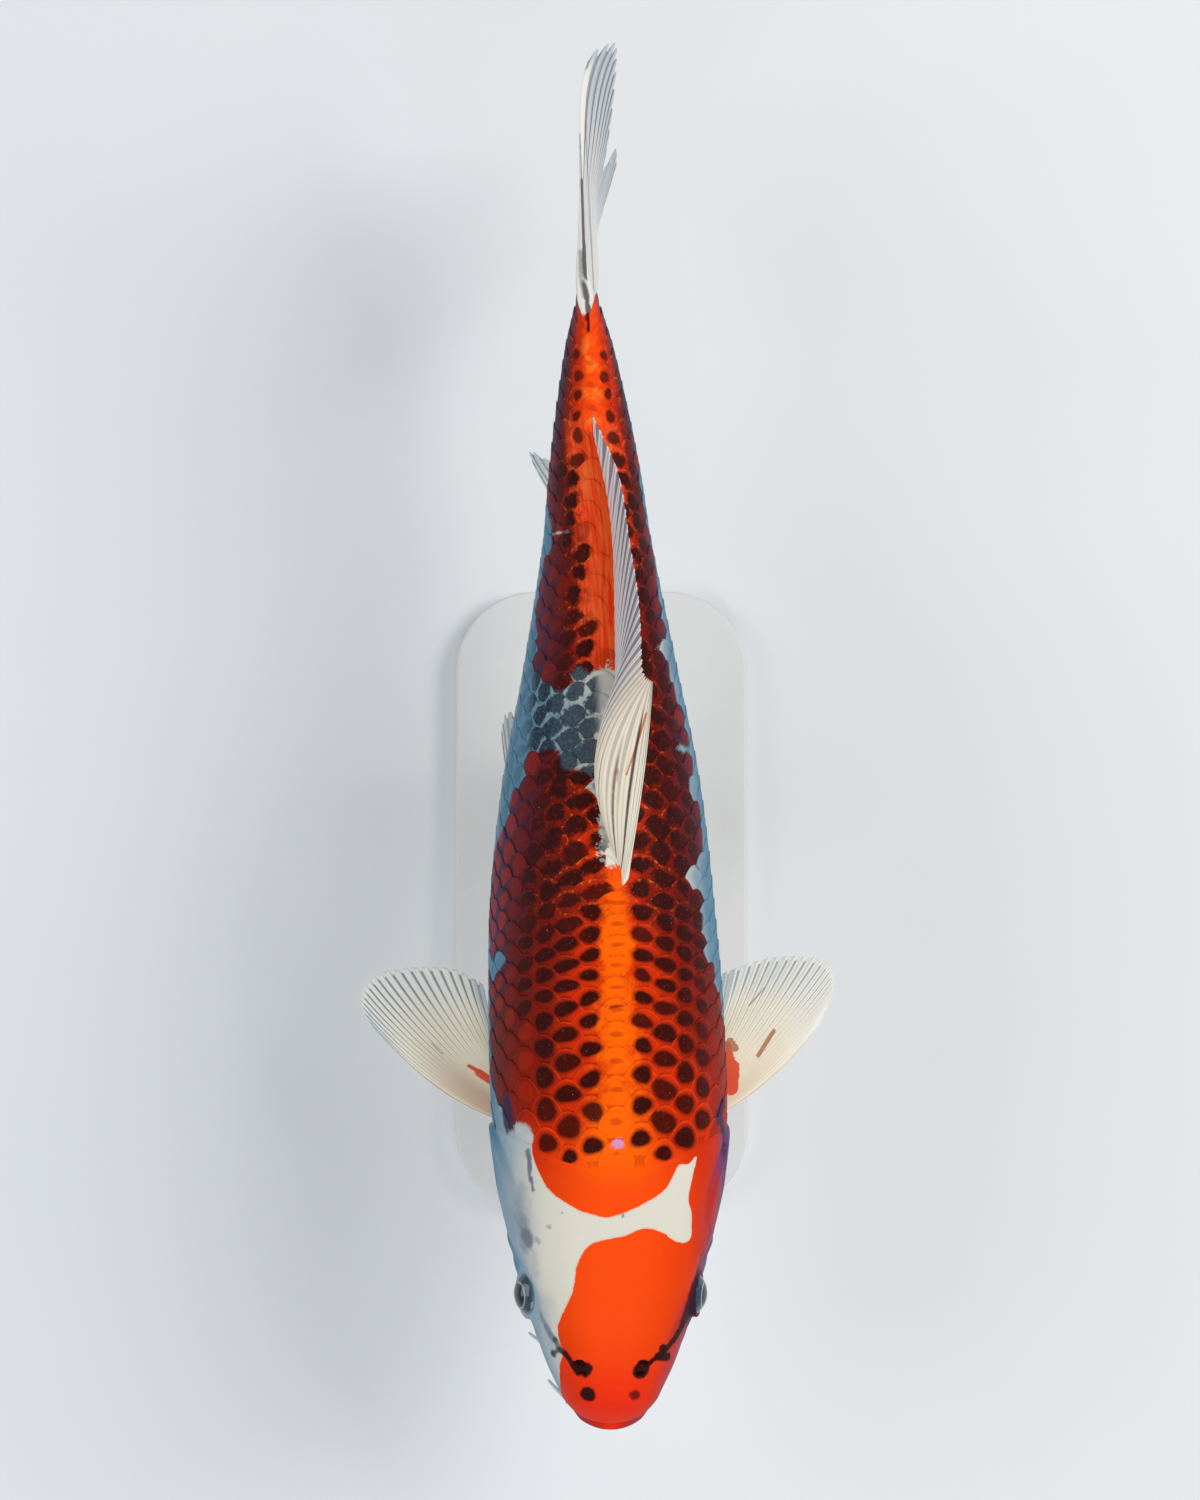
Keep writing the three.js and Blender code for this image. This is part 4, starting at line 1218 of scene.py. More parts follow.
def ray_profile(turn, u, v, fin):
    """Two fields from 0 to 1: the broad rays with the gaps between them, and the fine strands in them."""
    across = turn % 1.0
    to_gap = np.minimum(across, 1 - across)
    opening = fin["gap"] * step(fin["gap_from"] - 0.1, 1.0, v) + 0.02
    ray = step(opening * 0.45, opening * 1.25, to_gap)
    ray = 1 - (1 - ray) * step(fin["gap_from"] - 0.3, fin["gap_from"] + 0.25, v)
    strand = 0.5 + 0.5 * np.cos(2 * np.pi * (across * fin["strands"] + 0.5 + 0.12 * np.sin(v * 5 + u * 31)))
    return ray, strand


def build_fin(name, at, fin, material, marks_of):
    """A closed thin fin with raised stranded rays, a notched margin and a fleshy root."""
    rays, rows = fin["rays"], fin.get("rows", 72)
    columns = rays * fin["columns"] + 1
    turn, v = np.broadcast_arrays(np.linspace(0, rays, columns)[None, :], np.linspace(0, 1, rows)[:, None])
    u = (turn / rays) ** fin.get("crowd", 1.0)
    ray, strand = ray_profile(turn, u, v, fin)
    spine = step(0.85, 0.55, turn) * step(1.0, 0.9, v)
    ray = np.maximum(ray, spine)
    uneven = np.random.default_rng(fin["seed"]).uniform(0, 1, rays * fin["strands"] + 1)
    uneven = uneven[(turn * fin["strands"]).astype(int)]
    notch = fin.get("notch", 0.030) * (1 - ray) + 0.006 * uneven + 0.005 * (1 - strand)
    middle = at(u, v * (1 - notch * step(0.8, 1, v)))
    normal = grid_normals(middle, wrap=False)
    ripple = 0.22 * np.sin(turn * 2 * np.pi) * step(0.35, 1, v)
    wave = 0.45 * np.sin(u * 9.4 + v * 3.1) * step(0.3, 1, v)
    middle = middle + normal * (fin["curl"] * (ripple + wave))[..., None]
    joints = np.sin(v * 170 + 2.2 * np.sin(u * 21)) * step(0.3, 0.5, v)
    half = fin_thickness(fin, turn, u, v, (ray, strand, spine, joints))
    faces = middle + normal * half[..., None], middle - normal * half[..., None]
    shared = {"ray": ray, "strand": strand, "v": v, "joint": joints, "spine": spine}
    both = {key: np.concatenate([value.ravel(), value.ravel()]) for key, value in shared.items()}
    marks = [marks_of(u, v, face) for face in faces]
    for key in FIN_MARKS:
        both[key] = np.concatenate([np.broadcast_to(side.get(key, 0.0), u.shape).ravel() for side in marks])
    corners = fin_faces(rows, columns)
    face_u = np.concatenate([u.ravel() * 0.46 + 0.02, u.ravel() * 0.46 + 0.52])
    face_v = np.concatenate([v.ravel(), v.ravel()]) * 0.96 + 0.02
    uvs = np.stack([face_u, face_v], axis=-1)[corners.ravel()]
    points = np.concatenate([face.reshape(-1, 3) for face in faces])
    piece = new_mesh(f"{name}_skin", place(points), [corners], uvs, both)
    finish_piece(piece, material, [name])


def fin_thickness(fin, turn, u, v, fields):
    """Half the thickness of a fin: rays over the web, a fleshy root and a stout first ray."""
    ray, strand, spine, joints = fields
    swell = fin.get("swell", 0.0) * step(-0.005, 0.085, v) * step(0.62, 0.0, v) ** 2
    root = fin.get("root_depth", 0.4) * np.exp(-v * 9)
    side_taper = np.minimum(step(0, 0.012, u), step(1, 0.985, u)) * 0.7 + 0.3
    half = WEB_HALF + (fin["ray_height"] * (0.72 + 0.28 * strand) + 0.015 * joints) * ray * (1 - 0.5 * v)
    half = (half + root + swell * (0.9 + 0.1 * strand * ray)) * side_taper
    round_spine = np.sqrt(np.clip(1 - (turn / 0.85 * 2 - 1) ** 2, 0, 1))
    half = half + fin["spine"] * round_spine * (1 - 0.55 * v) * spine
    half[-1] *= 0.45
    return half


def fin_faces(rows, columns):
    """Quads of both faces of a fin and of the rim that joins them."""
    count = rows * columns
    first = grid_faces(rows, columns)[:, [0, 3, 2, 1]]
    loop = grid_rim(rows, columns)
    after = np.roll(loop, -1)
    rim = np.stack([loop, after, after + count, loop + count], axis=-1)
    return np.concatenate([first, first[:, ::-1] + count, rim])


# Red skin, brown, black lines, tan between the rays, shade by the body, how clear the web is, dark and deep
# between the rays, and warm white.
FIN_MARKS = ("red", "brown", "dark", "tan", "shade", "clear", "dusky", "deep", "warm")
# Strokes on the fins: start and end as (side, station), radius and strength.
PECTORAL_STROKES = {
    "right": {
        "red": [((-54, 141.4), (-50, 139.2), 0.7, 0.9), ((-50, 138.6), (-43.5, 134.5), 1.5, 0.8)],
        "brown": [],
        "dark": [((-69.2, 150.5), (-64.3, 145.6), 0.12, 0.7)],
    },
    "left": {
        "red": [((50.5, 149), (52.5, 142), 2.2, 0.9), ((52.6, 141), (52.2, 133), 3.4, 1.0)],
        "brown": [
            ((52.4, 151), (54.2, 148.4), 1.5, 1.0), ((70.0, 155.2), (63.6, 145.4), 0.8, 0.95),
        ],
        "dark": [((66.6, 172.8), (59.8, 165.3), 0.25, 0.65), ((82.8, 167.4), (80, 164.6), 0.2, 0.3)],
    },
}
DORSAL_STREAKS = [
    ((17.2, 284), (13.6, 272), 0.4, 0.9), ((13.6, 272), (9.4, 260), 0.35, 0.9),
    ((6.3, 262.5), (5.9, 257.5), 0.3, 0.7),
]
TAIL_LINE = [
    ((-4.7, 432), (-5.0, 441), 1.0, 1.0), ((-5.0, 441), (-6.1, 450), 0.85, 1.0),
    ((-6.1, 450), (-6.9, 467), 0.6, 1.0),
    ((-6.9, 467), (-7.7, 490), 0.45, 0.9), ((-7.7, 490), (-8.4, 507), 0.3, 0.6),
    ((-3.0, 450), (-4.6, 478), 0.3, 0.5), ((-4.6, 478), (-6.2, 512), 0.3, 0.45),
    ((-7.6, 447), (-8.4, 464), 0.9, 0.5),
]


def stroked(strokes, points):
    """How strongly strokes laid over a fin from above cover its points."""
    total = np.zeros(points.shape[:-1])
    for start, end, radius, strength in strokes:
        distance = capsule(points[..., 0], points[..., 1], start, end, radius)
        total = np.maximum(total, strength * step(-0.45, 0.25, distance))
    return total


def pectoral_marks(side):
    strokes = PECTORAL_STROKES[side]
    tan_reach, tan_level = (0.62, 1.0) if side == "right" else (0.5, 0.55)

    def marks(u, v, points):
        tan = step(0.05, 0.12, u) * step(tan_reach, tan_reach - 0.3, u) * tan_level
        tan = tan * step(0.72, 0.2, v + 0.1 * u)
        return {
            **{key: stroked(value, points) for key, value in strokes.items()},
            "tan": np.maximum(tan, 0.45 * step(0.4, 0.1, v)),
            "shade": step(0.72, 0.98, u) * step(0.75, 0.25, v),
            "clear": step(0.915, 0.935, u) * step(0.12, 0.3, v),
        }

    return marks


def plain_marks(u, v, points):
    return {"tan": 0.2 * step(0.4, 0.05, v), "clear": 0.35 + 0.5 * step(0.2, 1, v)}


def dorsal_marks(u, v, points):
    near_fold = step(0.12, 0.32, u)
    folds = 0.9 * hill(u - 0.052, 0.005) * step(0.98, 0.7, v)
    folds = folds + 0.7 * hill(u - 0.085, 0.004) * step(0.85, 0.5, v)
    folds = folds + 0.5 * hill(u - 0.125, 0.004) * step(0.75, 0.4, v)
    return {
        "red": stroked(DORSAL_STREAKS, points),
        "dark": folds, "tan": 0.28 * step(0.35, 0.15, u) * step(0.0, 0.1, u),
        "dusky": near_fold * step(0.12, 0.35, v), "deep": 0.35 + 0.65 * near_fold, "warm": 1 - near_fold,
    }


def tail_marks(u, v, points):
    upper = step(9, 14, points[..., 2])
    return {
        "dark": stroked(TAIL_LINE, points) * upper,
        "clear": 0.8 * step(0.4, 0.95, v), "dusky": 0.9 * step(0.02, 0.2, v),
        "red": 0.9 * step(0.035, 0.0, v), "deep": 1.0,
    }


def build_fins(material):
    for name, fin in FINS.items():
        marks = plain_marks
        if name.startswith("pectoral"):
            marks = pectoral_marks(name.rsplit("_", 1)[1])
        elif name == "dorsal_fin":
            marks = dorsal_marks
        build_fin(name, fan_surface(fin), fin, material, marks)
    lobes = {"caudal_fin_upper": (0, FORK - 0.003), "caudal_fin_lower": (1, FORK + 0.003)}
    for seed, (name, (first, last)) in enumerate(lobes.items(), start=9):
        build_fin(name, tail_surface(first, last), {**TAIL_LOBE, "seed": seed}, material, tail_marks)


# ---- barbels ----

BARBELS = {
    "barbel_upper": ([(16.5, 9.5, -7), (19.5, 11.5, -9.5), (22.5, 14, -12), (25, 16.5, -14)], (1.1, 0.5)),
    "barbel_corner": ([(15.5, 15, -13.5), (20, 21, -19), (26, 28.5, -23), (33, 34, -25.5)], (1.3, 0.5)),
}
# The left barbels lie closer to the snout, out of sight from above.
BARBEL_SPREAD = {"right": 1.0, "left": 0.84}
BARBEL_AROUND = 20


def sweep(path, radii):
    """Rings of points round a path."""
    path = np.asarray(path, float)
    along = np.gradient(path, axis=0)
    along /= np.linalg.norm(along, axis=1, keepdims=True)
    first = np.cross(along, np.array([0, 0, 1.0]))
    first /= np.linalg.norm(first, axis=1, keepdims=True)
    second = np.cross(along, first)
    turn = np.arange(BARBEL_AROUND) / BARBEL_AROUND * 2 * np.pi
    ring = np.cos(turn)[None, :, None] * first[:, None] + np.sin(turn)[None, :, None] * second[:, None]
    return path[:, None] + ring * np.asarray(radii)[:, None, None]


def build_barbel(name, side, material):
    """A tapering feeler with a swollen root, a round tip and fine rings."""
    points, (thick, thin) = BARBELS[name]
    outward = BARBEL_SPREAD[side] * (1 if side == "left" else -1)
    places = [(outward * out + axis_course(s), s, h) for out, s, h in points]
    path = smooth_line(places, steps=10, closed=False)
    share = np.linspace(0, 1, len(path))
    radius = thick + (thin - thick) * share + 0.9 * np.exp(-share * 9)
    radius *= np.sqrt(np.clip((1.03 - share) / 0.06, 0, 1)) * (1 + 0.05 * np.sin(share * 70))
    points, faces = capped_tube(sweep(path, radius))
    walls = tube_uv(np.linspace(0.02, 0.98, len(path)), np.linspace(0.02, 0.98, BARBEL_AROUND + 1))
    uvs = np.concatenate([walls.reshape(-1, 2), np.full((faces[1].size, 2), 0.01)])
    shares = np.concatenate([np.repeat(share, BARBEL_AROUND), [0, 1]])
    node = f"{name}_{side}"
    piece = new_mesh(f"{node}_skin", place(points), faces, uvs, {"along": shares})
    finish_piece(piece, material, [node])


# ---- eyes ----

EYE_RINGS = 96
EYE_AROUND = 72
# Degrees from the middle of the eye to the edge of its pupil and of its iris, and to the groove round them.
PUPIL = 28
IRIS = 58
BULGE_EDGE = 61


def build_eye(side, material):
    """A spun globe with a clear bulge over the pupil. It looks out, a little ahead and up."""
    sign = 1 if side == "left" else -1
    axis = eye_axis(sign)
    across = np.cross(axis, [0, 0, 1.0])
    across /= np.linalg.norm(across)
    up = np.cross(across, axis)
    polar = np.pi * np.linspace(0.003, 0.999, EYE_RINGS) ** 1.15
    degrees = np.degrees(polar)
    radius = (EYE_RADIUS - 0.55) * (1 + 0.055 * hill(degrees, 36)) - 0.35 * hill(degrees - BULGE_EDGE, 5)
    turn = np.arange(EYE_AROUND) / EYE_AROUND * 2 * np.pi
    ring = np.cos(turn)[None, :, None] * across + np.sin(turn)[None, :, None] * up
    facing = np.cos(polar)[:, None, None] * axis + np.sin(polar)[:, None, None] * ring
    points, faces = capped_tube(radius[:, None, None] * facing)
    flat = tube_uv(np.arange(EYE_RINGS) / EYE_RINGS, np.arange(EYE_AROUND + 1) / EYE_AROUND * 2 * np.pi)
    reach, spin = 0.49 * flat[..., 0], flat[..., 1]
    walls = np.stack([0.5 + reach * np.cos(spin), 0.5 + reach * np.sin(spin)], axis=-1).reshape(-1, 2)
    cap_uv = np.repeat([0.5, 0.995], 3 * EYE_AROUND)[:, None].repeat(2, axis=1)
    values = {
        "polar": np.concatenate([np.repeat(degrees, EYE_AROUND), [0, 180]]),
        "turn": np.concatenate([np.tile(np.sin(turn), EYE_RINGS), [0, 0]]),
        "turn_b": np.concatenate([np.tile(np.cos(turn), EYE_RINGS), [0, 0]]),
    }
    points = place(eye_middle(sign) + points * EYE_STRETCH)
    piece = new_mesh(f"eye_{side}_globe", points, faces, np.concatenate([walls, cap_uv]), values)
    finish_piece(piece, material, [f"eye_{side}"])


# ---- display stand ----

BASE_EDGE = 1.5
BASE_CORNER = 34
BASE_INSETS = (60, 40, 20, 6)
COLLAR_RADIUS = 8.5
COLLAR_HEIGHT = 2.6
ROD_AROUND = 48


def plate_outline(size_x, size_y, corner, steps=20):
    """A rectangle with round corners, centred on the origin, anticlockwise from above."""
    turn = np.linspace(0, np.pi / 2, steps)
    parts = []
    for quarter, (sx, sy) in enumerate([(1, 1), (-1, 1), (-1, -1), (1, -1)]):
        angle = turn + quarter * np.pi / 2
        centre = np.array([sx * (size_x / 2 - corner), sy * (size_y / 2 - corner)])
        parts.append(centre + corner * np.stack([np.cos(angle), np.sin(angle)], axis=-1))
    return np.concatenate(parts)


def stacked_uv(faces, points):
    """A flat map of a turned or stacked piece: the angle round it and the height, with its ends beside."""
    low, high = points.min(axis=0), points.max(axis=0)
    share = (points - low) / np.maximum(high - low, 1e-6)
    quads = faces[0]
    around = np.arctan2(share[:, 1] - 0.5, share[:, 0] - 0.5) / (2 * np.pi) + 0.5
    u = around[quads]
    u = np.where(u.max(axis=1, keepdims=True) - u > 0.5, u + 1, u)
    walls = np.stack([u * 0.4 + 0.01, share[:, 2][quads] * 0.96 + 0.02], axis=-1).reshape(-1, 2)
    ends = share[faces[1].ravel()]
    flip = np.repeat(np.arange(len(faces[1])) >= len(faces[1]) // 2, 3)
    ends = np.stack([ends[:, 0] * 0.4 + 0.56, ends[:, 1] * 0.46 + 0.01 + 0.5 * flip], axis=-1)
    return np.concatenate([walls, ends])


def box_in_mm(node):
    low, high = (np.array([*corner]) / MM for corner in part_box(node))
    return low, high, (low + high) / 2


def build_base(material):
    """The plate, with round corners and a small round edge above and below."""
    low, high, centre = box_in_mm("stand_base")
    bevel = np.linspace(0, np.pi / 2, 7)
    lower = [(inset, low[2]) for inset in BASE_INSETS]
    lower += [(BASE_EDGE * (1 - np.sin(b)), low[2] + BASE_EDGE * (1 - np.cos(b))) for b in bevel]
    upper = [(inset, high[2] + low[2] - z) for inset, z in lower[::-1]]
    levels = []
    for inset, z in lower + upper:
        size = high - low - 2 * inset
        outline = plate_outline(size[0], size[1], max(BASE_CORNER - inset, 1.0))
        levels.append(np.concatenate([outline + centre[:2], np.full((len(outline), 1), z)], axis=1))
    points, faces = capped_tube(levels)
    piece = new_mesh("stand_base_plate", points * MM, faces, stacked_uv(faces, points))
    finish_piece(piece, material, ["stand_base"])


def build_rod(node, material):
    """A rod with a turned collar at its foot and a rounded top."""
    low, high, centre = box_in_mm(node)
    radius = (high[0] - low[0]) / 2
    foot, top = low[2], low[2] + COLLAR_HEIGHT
    profile = [
        (radius * 0.5, foot), (COLLAR_RADIUS, foot), (COLLAR_RADIUS, top - 0.6),
        (COLLAR_RADIUS - 0.25, top - 0.15), (COLLAR_RADIUS - 0.7, top),
        (radius + 1.2, top), (radius + 0.3, top + 0.3), (radius, top + 1.0),
    ]
    profile += [(radius, z) for z in np.linspace(top + 3, high[2] - 0.8, 14)]
    profile += [(radius - 0.25, high[2] - 0.2), (radius - 0.8, high[2])]
    around = np.linspace(0, 2 * np.pi, ROD_AROUND, endpoint=False)
    rings = [
        np.stack([
            centre[0] + r * np.cos(around), centre[1] + r * np.sin(around), np.full(ROD_AROUND, z)
        ], axis=-1)
        for r, z in profile
    ]
    points, faces = capped_tube(rings)
    piece = new_mesh(f"{node}_bar", points * MM, faces, stacked_uv(faces, points))
    finish_piece(piece, material, [node])


# ---- material nodes ----


def linear(red, green, blue):
    """A colour given as on a screen, 0 to 255, as the linear colour that nodes take."""
    made = []
    for value in (red, green, blue):
        value = value / 255
        made.append(value / 12.92 if value <= 0.04045 else ((value + 0.055) / 1.055) ** 2.4)
    return (*made, 1.0)


class Nodes:
    """A material with short calls for its nodes."""

    def __init__(self, name):
        self.material = bpy.data.materials.new(name)
        self.material.use_nodes = True
        self.tree = self.material.node_tree
        self.tree.nodes.clear()
        output = self.tree.nodes.new("ShaderNodeOutputMaterial")
        self.shader = self.tree.nodes.new("ShaderNodeBsdfPrincipled")
        self.tree.links.new(self.shader.outputs[0], output.inputs[0])
        self.place = self.tree.nodes.new("ShaderNodeTexCoord").outputs["Object"]

    def plug(self, socket, value):
        if isinstance(value, bpy.types.NodeSocket):
            self.tree.links.new(value, socket)
        else:
            socket.default_value = value

    def set(self, **values):
        names = {
            "colour": "Base Color", "roughness": "Roughness", "metallic": "Metallic", "alpha": "Alpha",
            "normal": "Normal", "coat": "Coat Weight", "coat_roughness": "Coat Roughness", "ior": "IOR",
            "specular": "Specular IOR Level",
        }
        for key, value in values.items():
            self.plug(self.shader.inputs[names[key]], value)

    def attribute(self, name):
        node = self.tree.nodes.new("ShaderNodeAttribute")
        node.attribute_name = name
        return node.outputs["Fac"]

    def math(self, operation, *values):
        node = self.tree.nodes.new("ShaderNodeMath")
        node.operation = operation
        for socket, value in zip(node.inputs, values):
            self.plug(socket, value)
        return node.outputs[0]

    def add(self, first, *others):
        for other in others:
            first = self.math("ADD", first, other)
        return first

    def times(self, first, *others):
        for other in others:
            first = self.math("MULTIPLY", first, other)
        return first

    def smooth(self, value, low, high, made_low=0.0, made_high=1.0):
        """A smooth change from made_low to made_high as the value passes from low to high."""
        node = self.tree.nodes.new("ShaderNodeMapRange")
        node.interpolation_type = "SMOOTHSTEP"
        self.plug(node.inputs["Value"], value)
        if low > high:
            low, high, made_low, made_high = high, low, made_high, made_low
        node.inputs["From Min"].default_value = low
        node.inputs["From Max"].default_value = high
        node.inputs["To Min"].default_value = made_low
        node.inputs["To Max"].default_value = made_high
        return node.outputs["Result"]

    def mix(self, share, a, b, blend="MIX"):
        node = self.tree.nodes.new("ShaderNodeMix")
        node.data_type = "RGBA"
        node.blend_type = blend
        self.plug(node.inputs[0], share)
        self.plug(node.inputs[6], a)
        self.plug(node.inputs[7], b)
        return node.outputs[2]

    def flat_place(self, along, across, third=0.0):
        node = self.tree.nodes.new("ShaderNodeCombineXYZ")
        self.plug(node.inputs[0], along)
        self.plug(node.inputs[1], across)
        self.plug(node.inputs[2], third)
        return node.outputs[0]

    def noise(self, scale, detail, roughness, place=None):
        """Noise from about -1 to 1, at a place on the model or at another one."""
        node = self.tree.nodes.new("ShaderNodeTexNoise")
        node.inputs["Scale"].default_value = scale
        node.inputs["Detail"].default_value = detail
        node.inputs["Roughness"].default_value = roughness
        self.plug(node.inputs["Vector"], place if place is not None else self.place)
        return self.spread(node.outputs[0])

    def spread(self, value):
        """A value from 0 to 1 spread over -1 to 1."""
        return self.math("MULTIPLY_ADD", value, 2.0, -1.0)

    def cells(self, scale):
        """Distance to the edges of small random cells."""
        node = self.tree.nodes.new("ShaderNodeTexVoronoi")
        node.feature = "DISTANCE_TO_EDGE"
        node.inputs["Scale"].default_value = scale
        self.plug(node.inputs["Vector"], self.place)
        return node.outputs["Distance"]

    def bump(self, height, distance, strength):
        node = self.tree.nodes.new("ShaderNodeBump")
        node.inputs["Strength"].default_value = strength
        node.inputs["Distance"].default_value = distance
        self.plug(node.inputs["Height"], height)
        return node.outputs[0]

    def layer(self, colour, name, share, paint):
        """Paint laid over a colour where the attribute of that name is high."""
        return self.mix(self.times(self.attribute(name), share), colour, paint)


# ---- colours of the fish ----

HOOD_RED = linear(253, 75, 8)
SNOUT_RED = linear(246, 44, 14)
BACK_ORANGE = linear(255, 101, 0)
# Darker reds down the flanks: the fish's own maroon with painted shade; the last two turn purple with a
# painted blue reflection.
RED_TONES = [
    linear(206, 42, 4), linear(136, 20, 5), linear(90, 15, 13), linear(62, 20, 44), linear(40, 32, 72),
]
# Painted reflection of blue light and painted shade at the edge of the red.
REFLECTION_PURPLE = linear(92, 70, 118)
REFLECTION_RED = linear(166, 50, 60)
SPOT_BACK = linear(56, 13, 6)
SPOT_FLANK = linear(52, 15, 18)
SPOT_RED = linear(116, 20, 5)
DASH_RED = linear(196, 40, 8)
BLOTCH = linear(62, 14, 14)
GOLD = linear(236, 112, 40)
WHITE = linear(221, 217, 203)
# Painted blue reflection on white skin down the flanks, and painted shade at its edge.
WHITE_REFLECTING_BLUE = linear(146, 166, 178)
WHITE_EDGE_BLUE_SHADE = linear(84, 130, 156)
WHITE_BELLY = linear(206, 208, 204)
SLATE = linear(62, 86, 102)
SLATE_DARK = linear(34, 48, 62)
INK_BLACK = linear(24, 13, 16)
BRUISE_BLUE = linear(46, 36, 70)
CLOUD_GREY = linear(96, 106, 126)
# Painted shade in a fold of the skin.
CREASE_SHADE_RED = linear(130, 26, 12)
CHALK_WHITE = linear(196, 206, 212)
LILAC_PINK = linear(214, 150, 196)
MOUTH_PINK = linear(176, 92, 84)
STREAK_RED = linear(250, 52, 14)
STREAK_ORANGE = linear(255, 110, 52)
STEM_GLOW = linear(255, 150, 50)
VEIN = linear(190, 182, 178)
HALO = linear(236, 150, 110)
# Painted shade of the skin under the scales.
UNDER_SCALES_SHADE = linear(150, 110, 105)
RIGHT_LID = linear(150, 172, 184)
LEFT_LID = linear(62, 38, 58)
LINE_ORANGE = linear(246, 84, 18)
LINE_RED = linear(140, 36, 28)
LINE_PURPLE = linear(96, 40, 60)
GLINT = linear(206, 196, 200)


def red_ground(n, station):
    """Red skin: orange along the back, then red, and maroon down the flanks, deepened there by painted shade.
    """
    grain = n.noise(260, 3, 0.6)
    colour = n.mix(n.attribute("orange"), HOOD_RED, BACK_ORANGE)
    colour = n.mix(n.smooth(station, 46, 8), colour, SNOUT_RED)
    # Painted shade and the fish's own maroon darken the red down the flanks.
    tone = n.add(n.attribute("dusk"), n.times(grain, n.smooth(station, 96, 150, 0.05, 0.8)))
    for index, darker in enumerate(RED_TONES):
        colour = n.mix(n.smooth(tone, index + 0.1, index + 1.0), colour, darker)
    streaks = n.noise(3, 3, 0.6, n.flat_place(n.times(n.attribute("arc"), 0.25), n.times(station, 0.02)))
    streaked = n.mix(n.smooth(streaks, -0.3, 0.3), STREAK_RED, STREAK_ORANGE)
    colour = n.layer(colour, "strip", 0.85, streaked)
    near = n.smooth(n.math("ABSOLUTE", n.attribute("arc")), 7, 1)
    glow = n.smooth(n.noise(130, 2, 0.6), 0.0, 0.3)
    glow = n.times(glow, n.smooth(station, 392, 402), n.smooth(station, 434, 428), near, 0.5)
    colour = n.mix(glow, colour, STEM_GLOW)
    # Painted reflection and shade at the edge of the red: red, then purple at the very edge.
    edge_reflection = n.attribute("edge_reflection")
    colour = n.mix(n.smooth(edge_reflection, 0.0, 0.6, 0.0, 0.9), colour, REFLECTION_RED)
    colour = n.mix(n.smooth(edge_reflection, 0.4, 1.0, 0.0, 0.9), colour, REFLECTION_PURPLE)
    return n.mix(n.smooth(grain, -0.7, 0.7, 0.0, 0.05), colour, GOLD)


def white_ground(n):
    """White skin, with a painted blue reflection and painted shade down the flanks and over the belly."""
    cloud = n.noise(45, 4, 0.6)
    blue_reflection = n.add(n.attribute("blue_reflection"), n.times(cloud, 0.10))
    colour = n.mix(n.smooth(blue_reflection, -0.05, 0.7), WHITE, WHITE_REFLECTING_BLUE)
    colour = n.mix(n.smooth(blue_reflection, 0.45, 1.3), colour, WHITE_EDGE_BLUE_SHADE)
    colour = n.layer(colour, "belly", 0.9, WHITE_BELLY)
    vein = n.noise(420, 3, 0.7)
    return n.mix(n.smooth(vein, 0.1, 0.7, 0.0, 0.14), colour, VEIN)


def overpaint(n, colour, fine):
    """The black, violet, grey and pale strokes that lie over both grounds."""
    shaken = n.times(fine, 0.14)
    # The crease stroke is painted shade in a fold of the skin.
    for name, paint, strength in (
        ("cloud", CLOUD_GREY, 0.9), ("bruise", BRUISE_BLUE, 0.92), ("crease_shade", CREASE_SHADE_RED, 0.85),
        ("chalk", CHALK_WHITE, 0.8), ("lilac", LILAC_PINK, 0.9), ("ink", INK_BLACK, 0.97),
    ):
        cover = n.smooth(n.add(n.attribute(name), shaken), 0.12, 0.92, 0.0, strength)
        colour = n.mix(cover, colour, paint)
    return colour


def skin_material():
    n = Nodes("koi_skin")
    station = n.attribute("station")
    fine = n.noise(900, 3, 0.6)
    wander = n.noise(300, 2, 0.5)
    edge = n.add(n.attribute("red"), n.times(fine, 0.35), n.times(wander, 0.4))
    red = n.smooth(edge, -0.22, 0.22)
    colour = n.mix(red, white_ground(n), red_ground(n, station))
    halo = n.times(n.smooth(edge, -1.1, -0.1), n.smooth(edge, 0.2, -0.1))
    colour = n.mix(n.times(halo, 0.25), colour, HALO)
    colour = overpaint(n, colour, n.noise(700, 3, 0.7))
    # Painted shade darkens the skin under the scales.
    covered = n.mix(1.0, colour, UNDER_SCALES_SHADE, "MULTIPLY")
    colour = n.layer(colour, "cover", 0.35, covered)
    rim = n.mix(n.smooth(n.attribute("arc"), -1, 1), RIGHT_LID, LEFT_LID)
    colour = n.layer(colour, "eye_ring", 0.7, rim)
    colour = n.mix(n.smooth(n.attribute("mouth"), 0.05, 0.9), colour, MOUTH_PINK)
    pores = n.smooth(n.cells(1400), 0.0, 0.25)
    rough = n.noise(180, 3, 0.5)
    surface_noise = n.add(n.times(pores, 0.35), n.times(fine, 0.5), rough)
    n.set(
        colour=colour, roughness=n.smooth(rough, -1, 1, 0.40, 0.54), ior=1.15, specular=0.35,
        normal=n.bump(surface_noise, 0.00012, 0.5),
    )
    return n.material


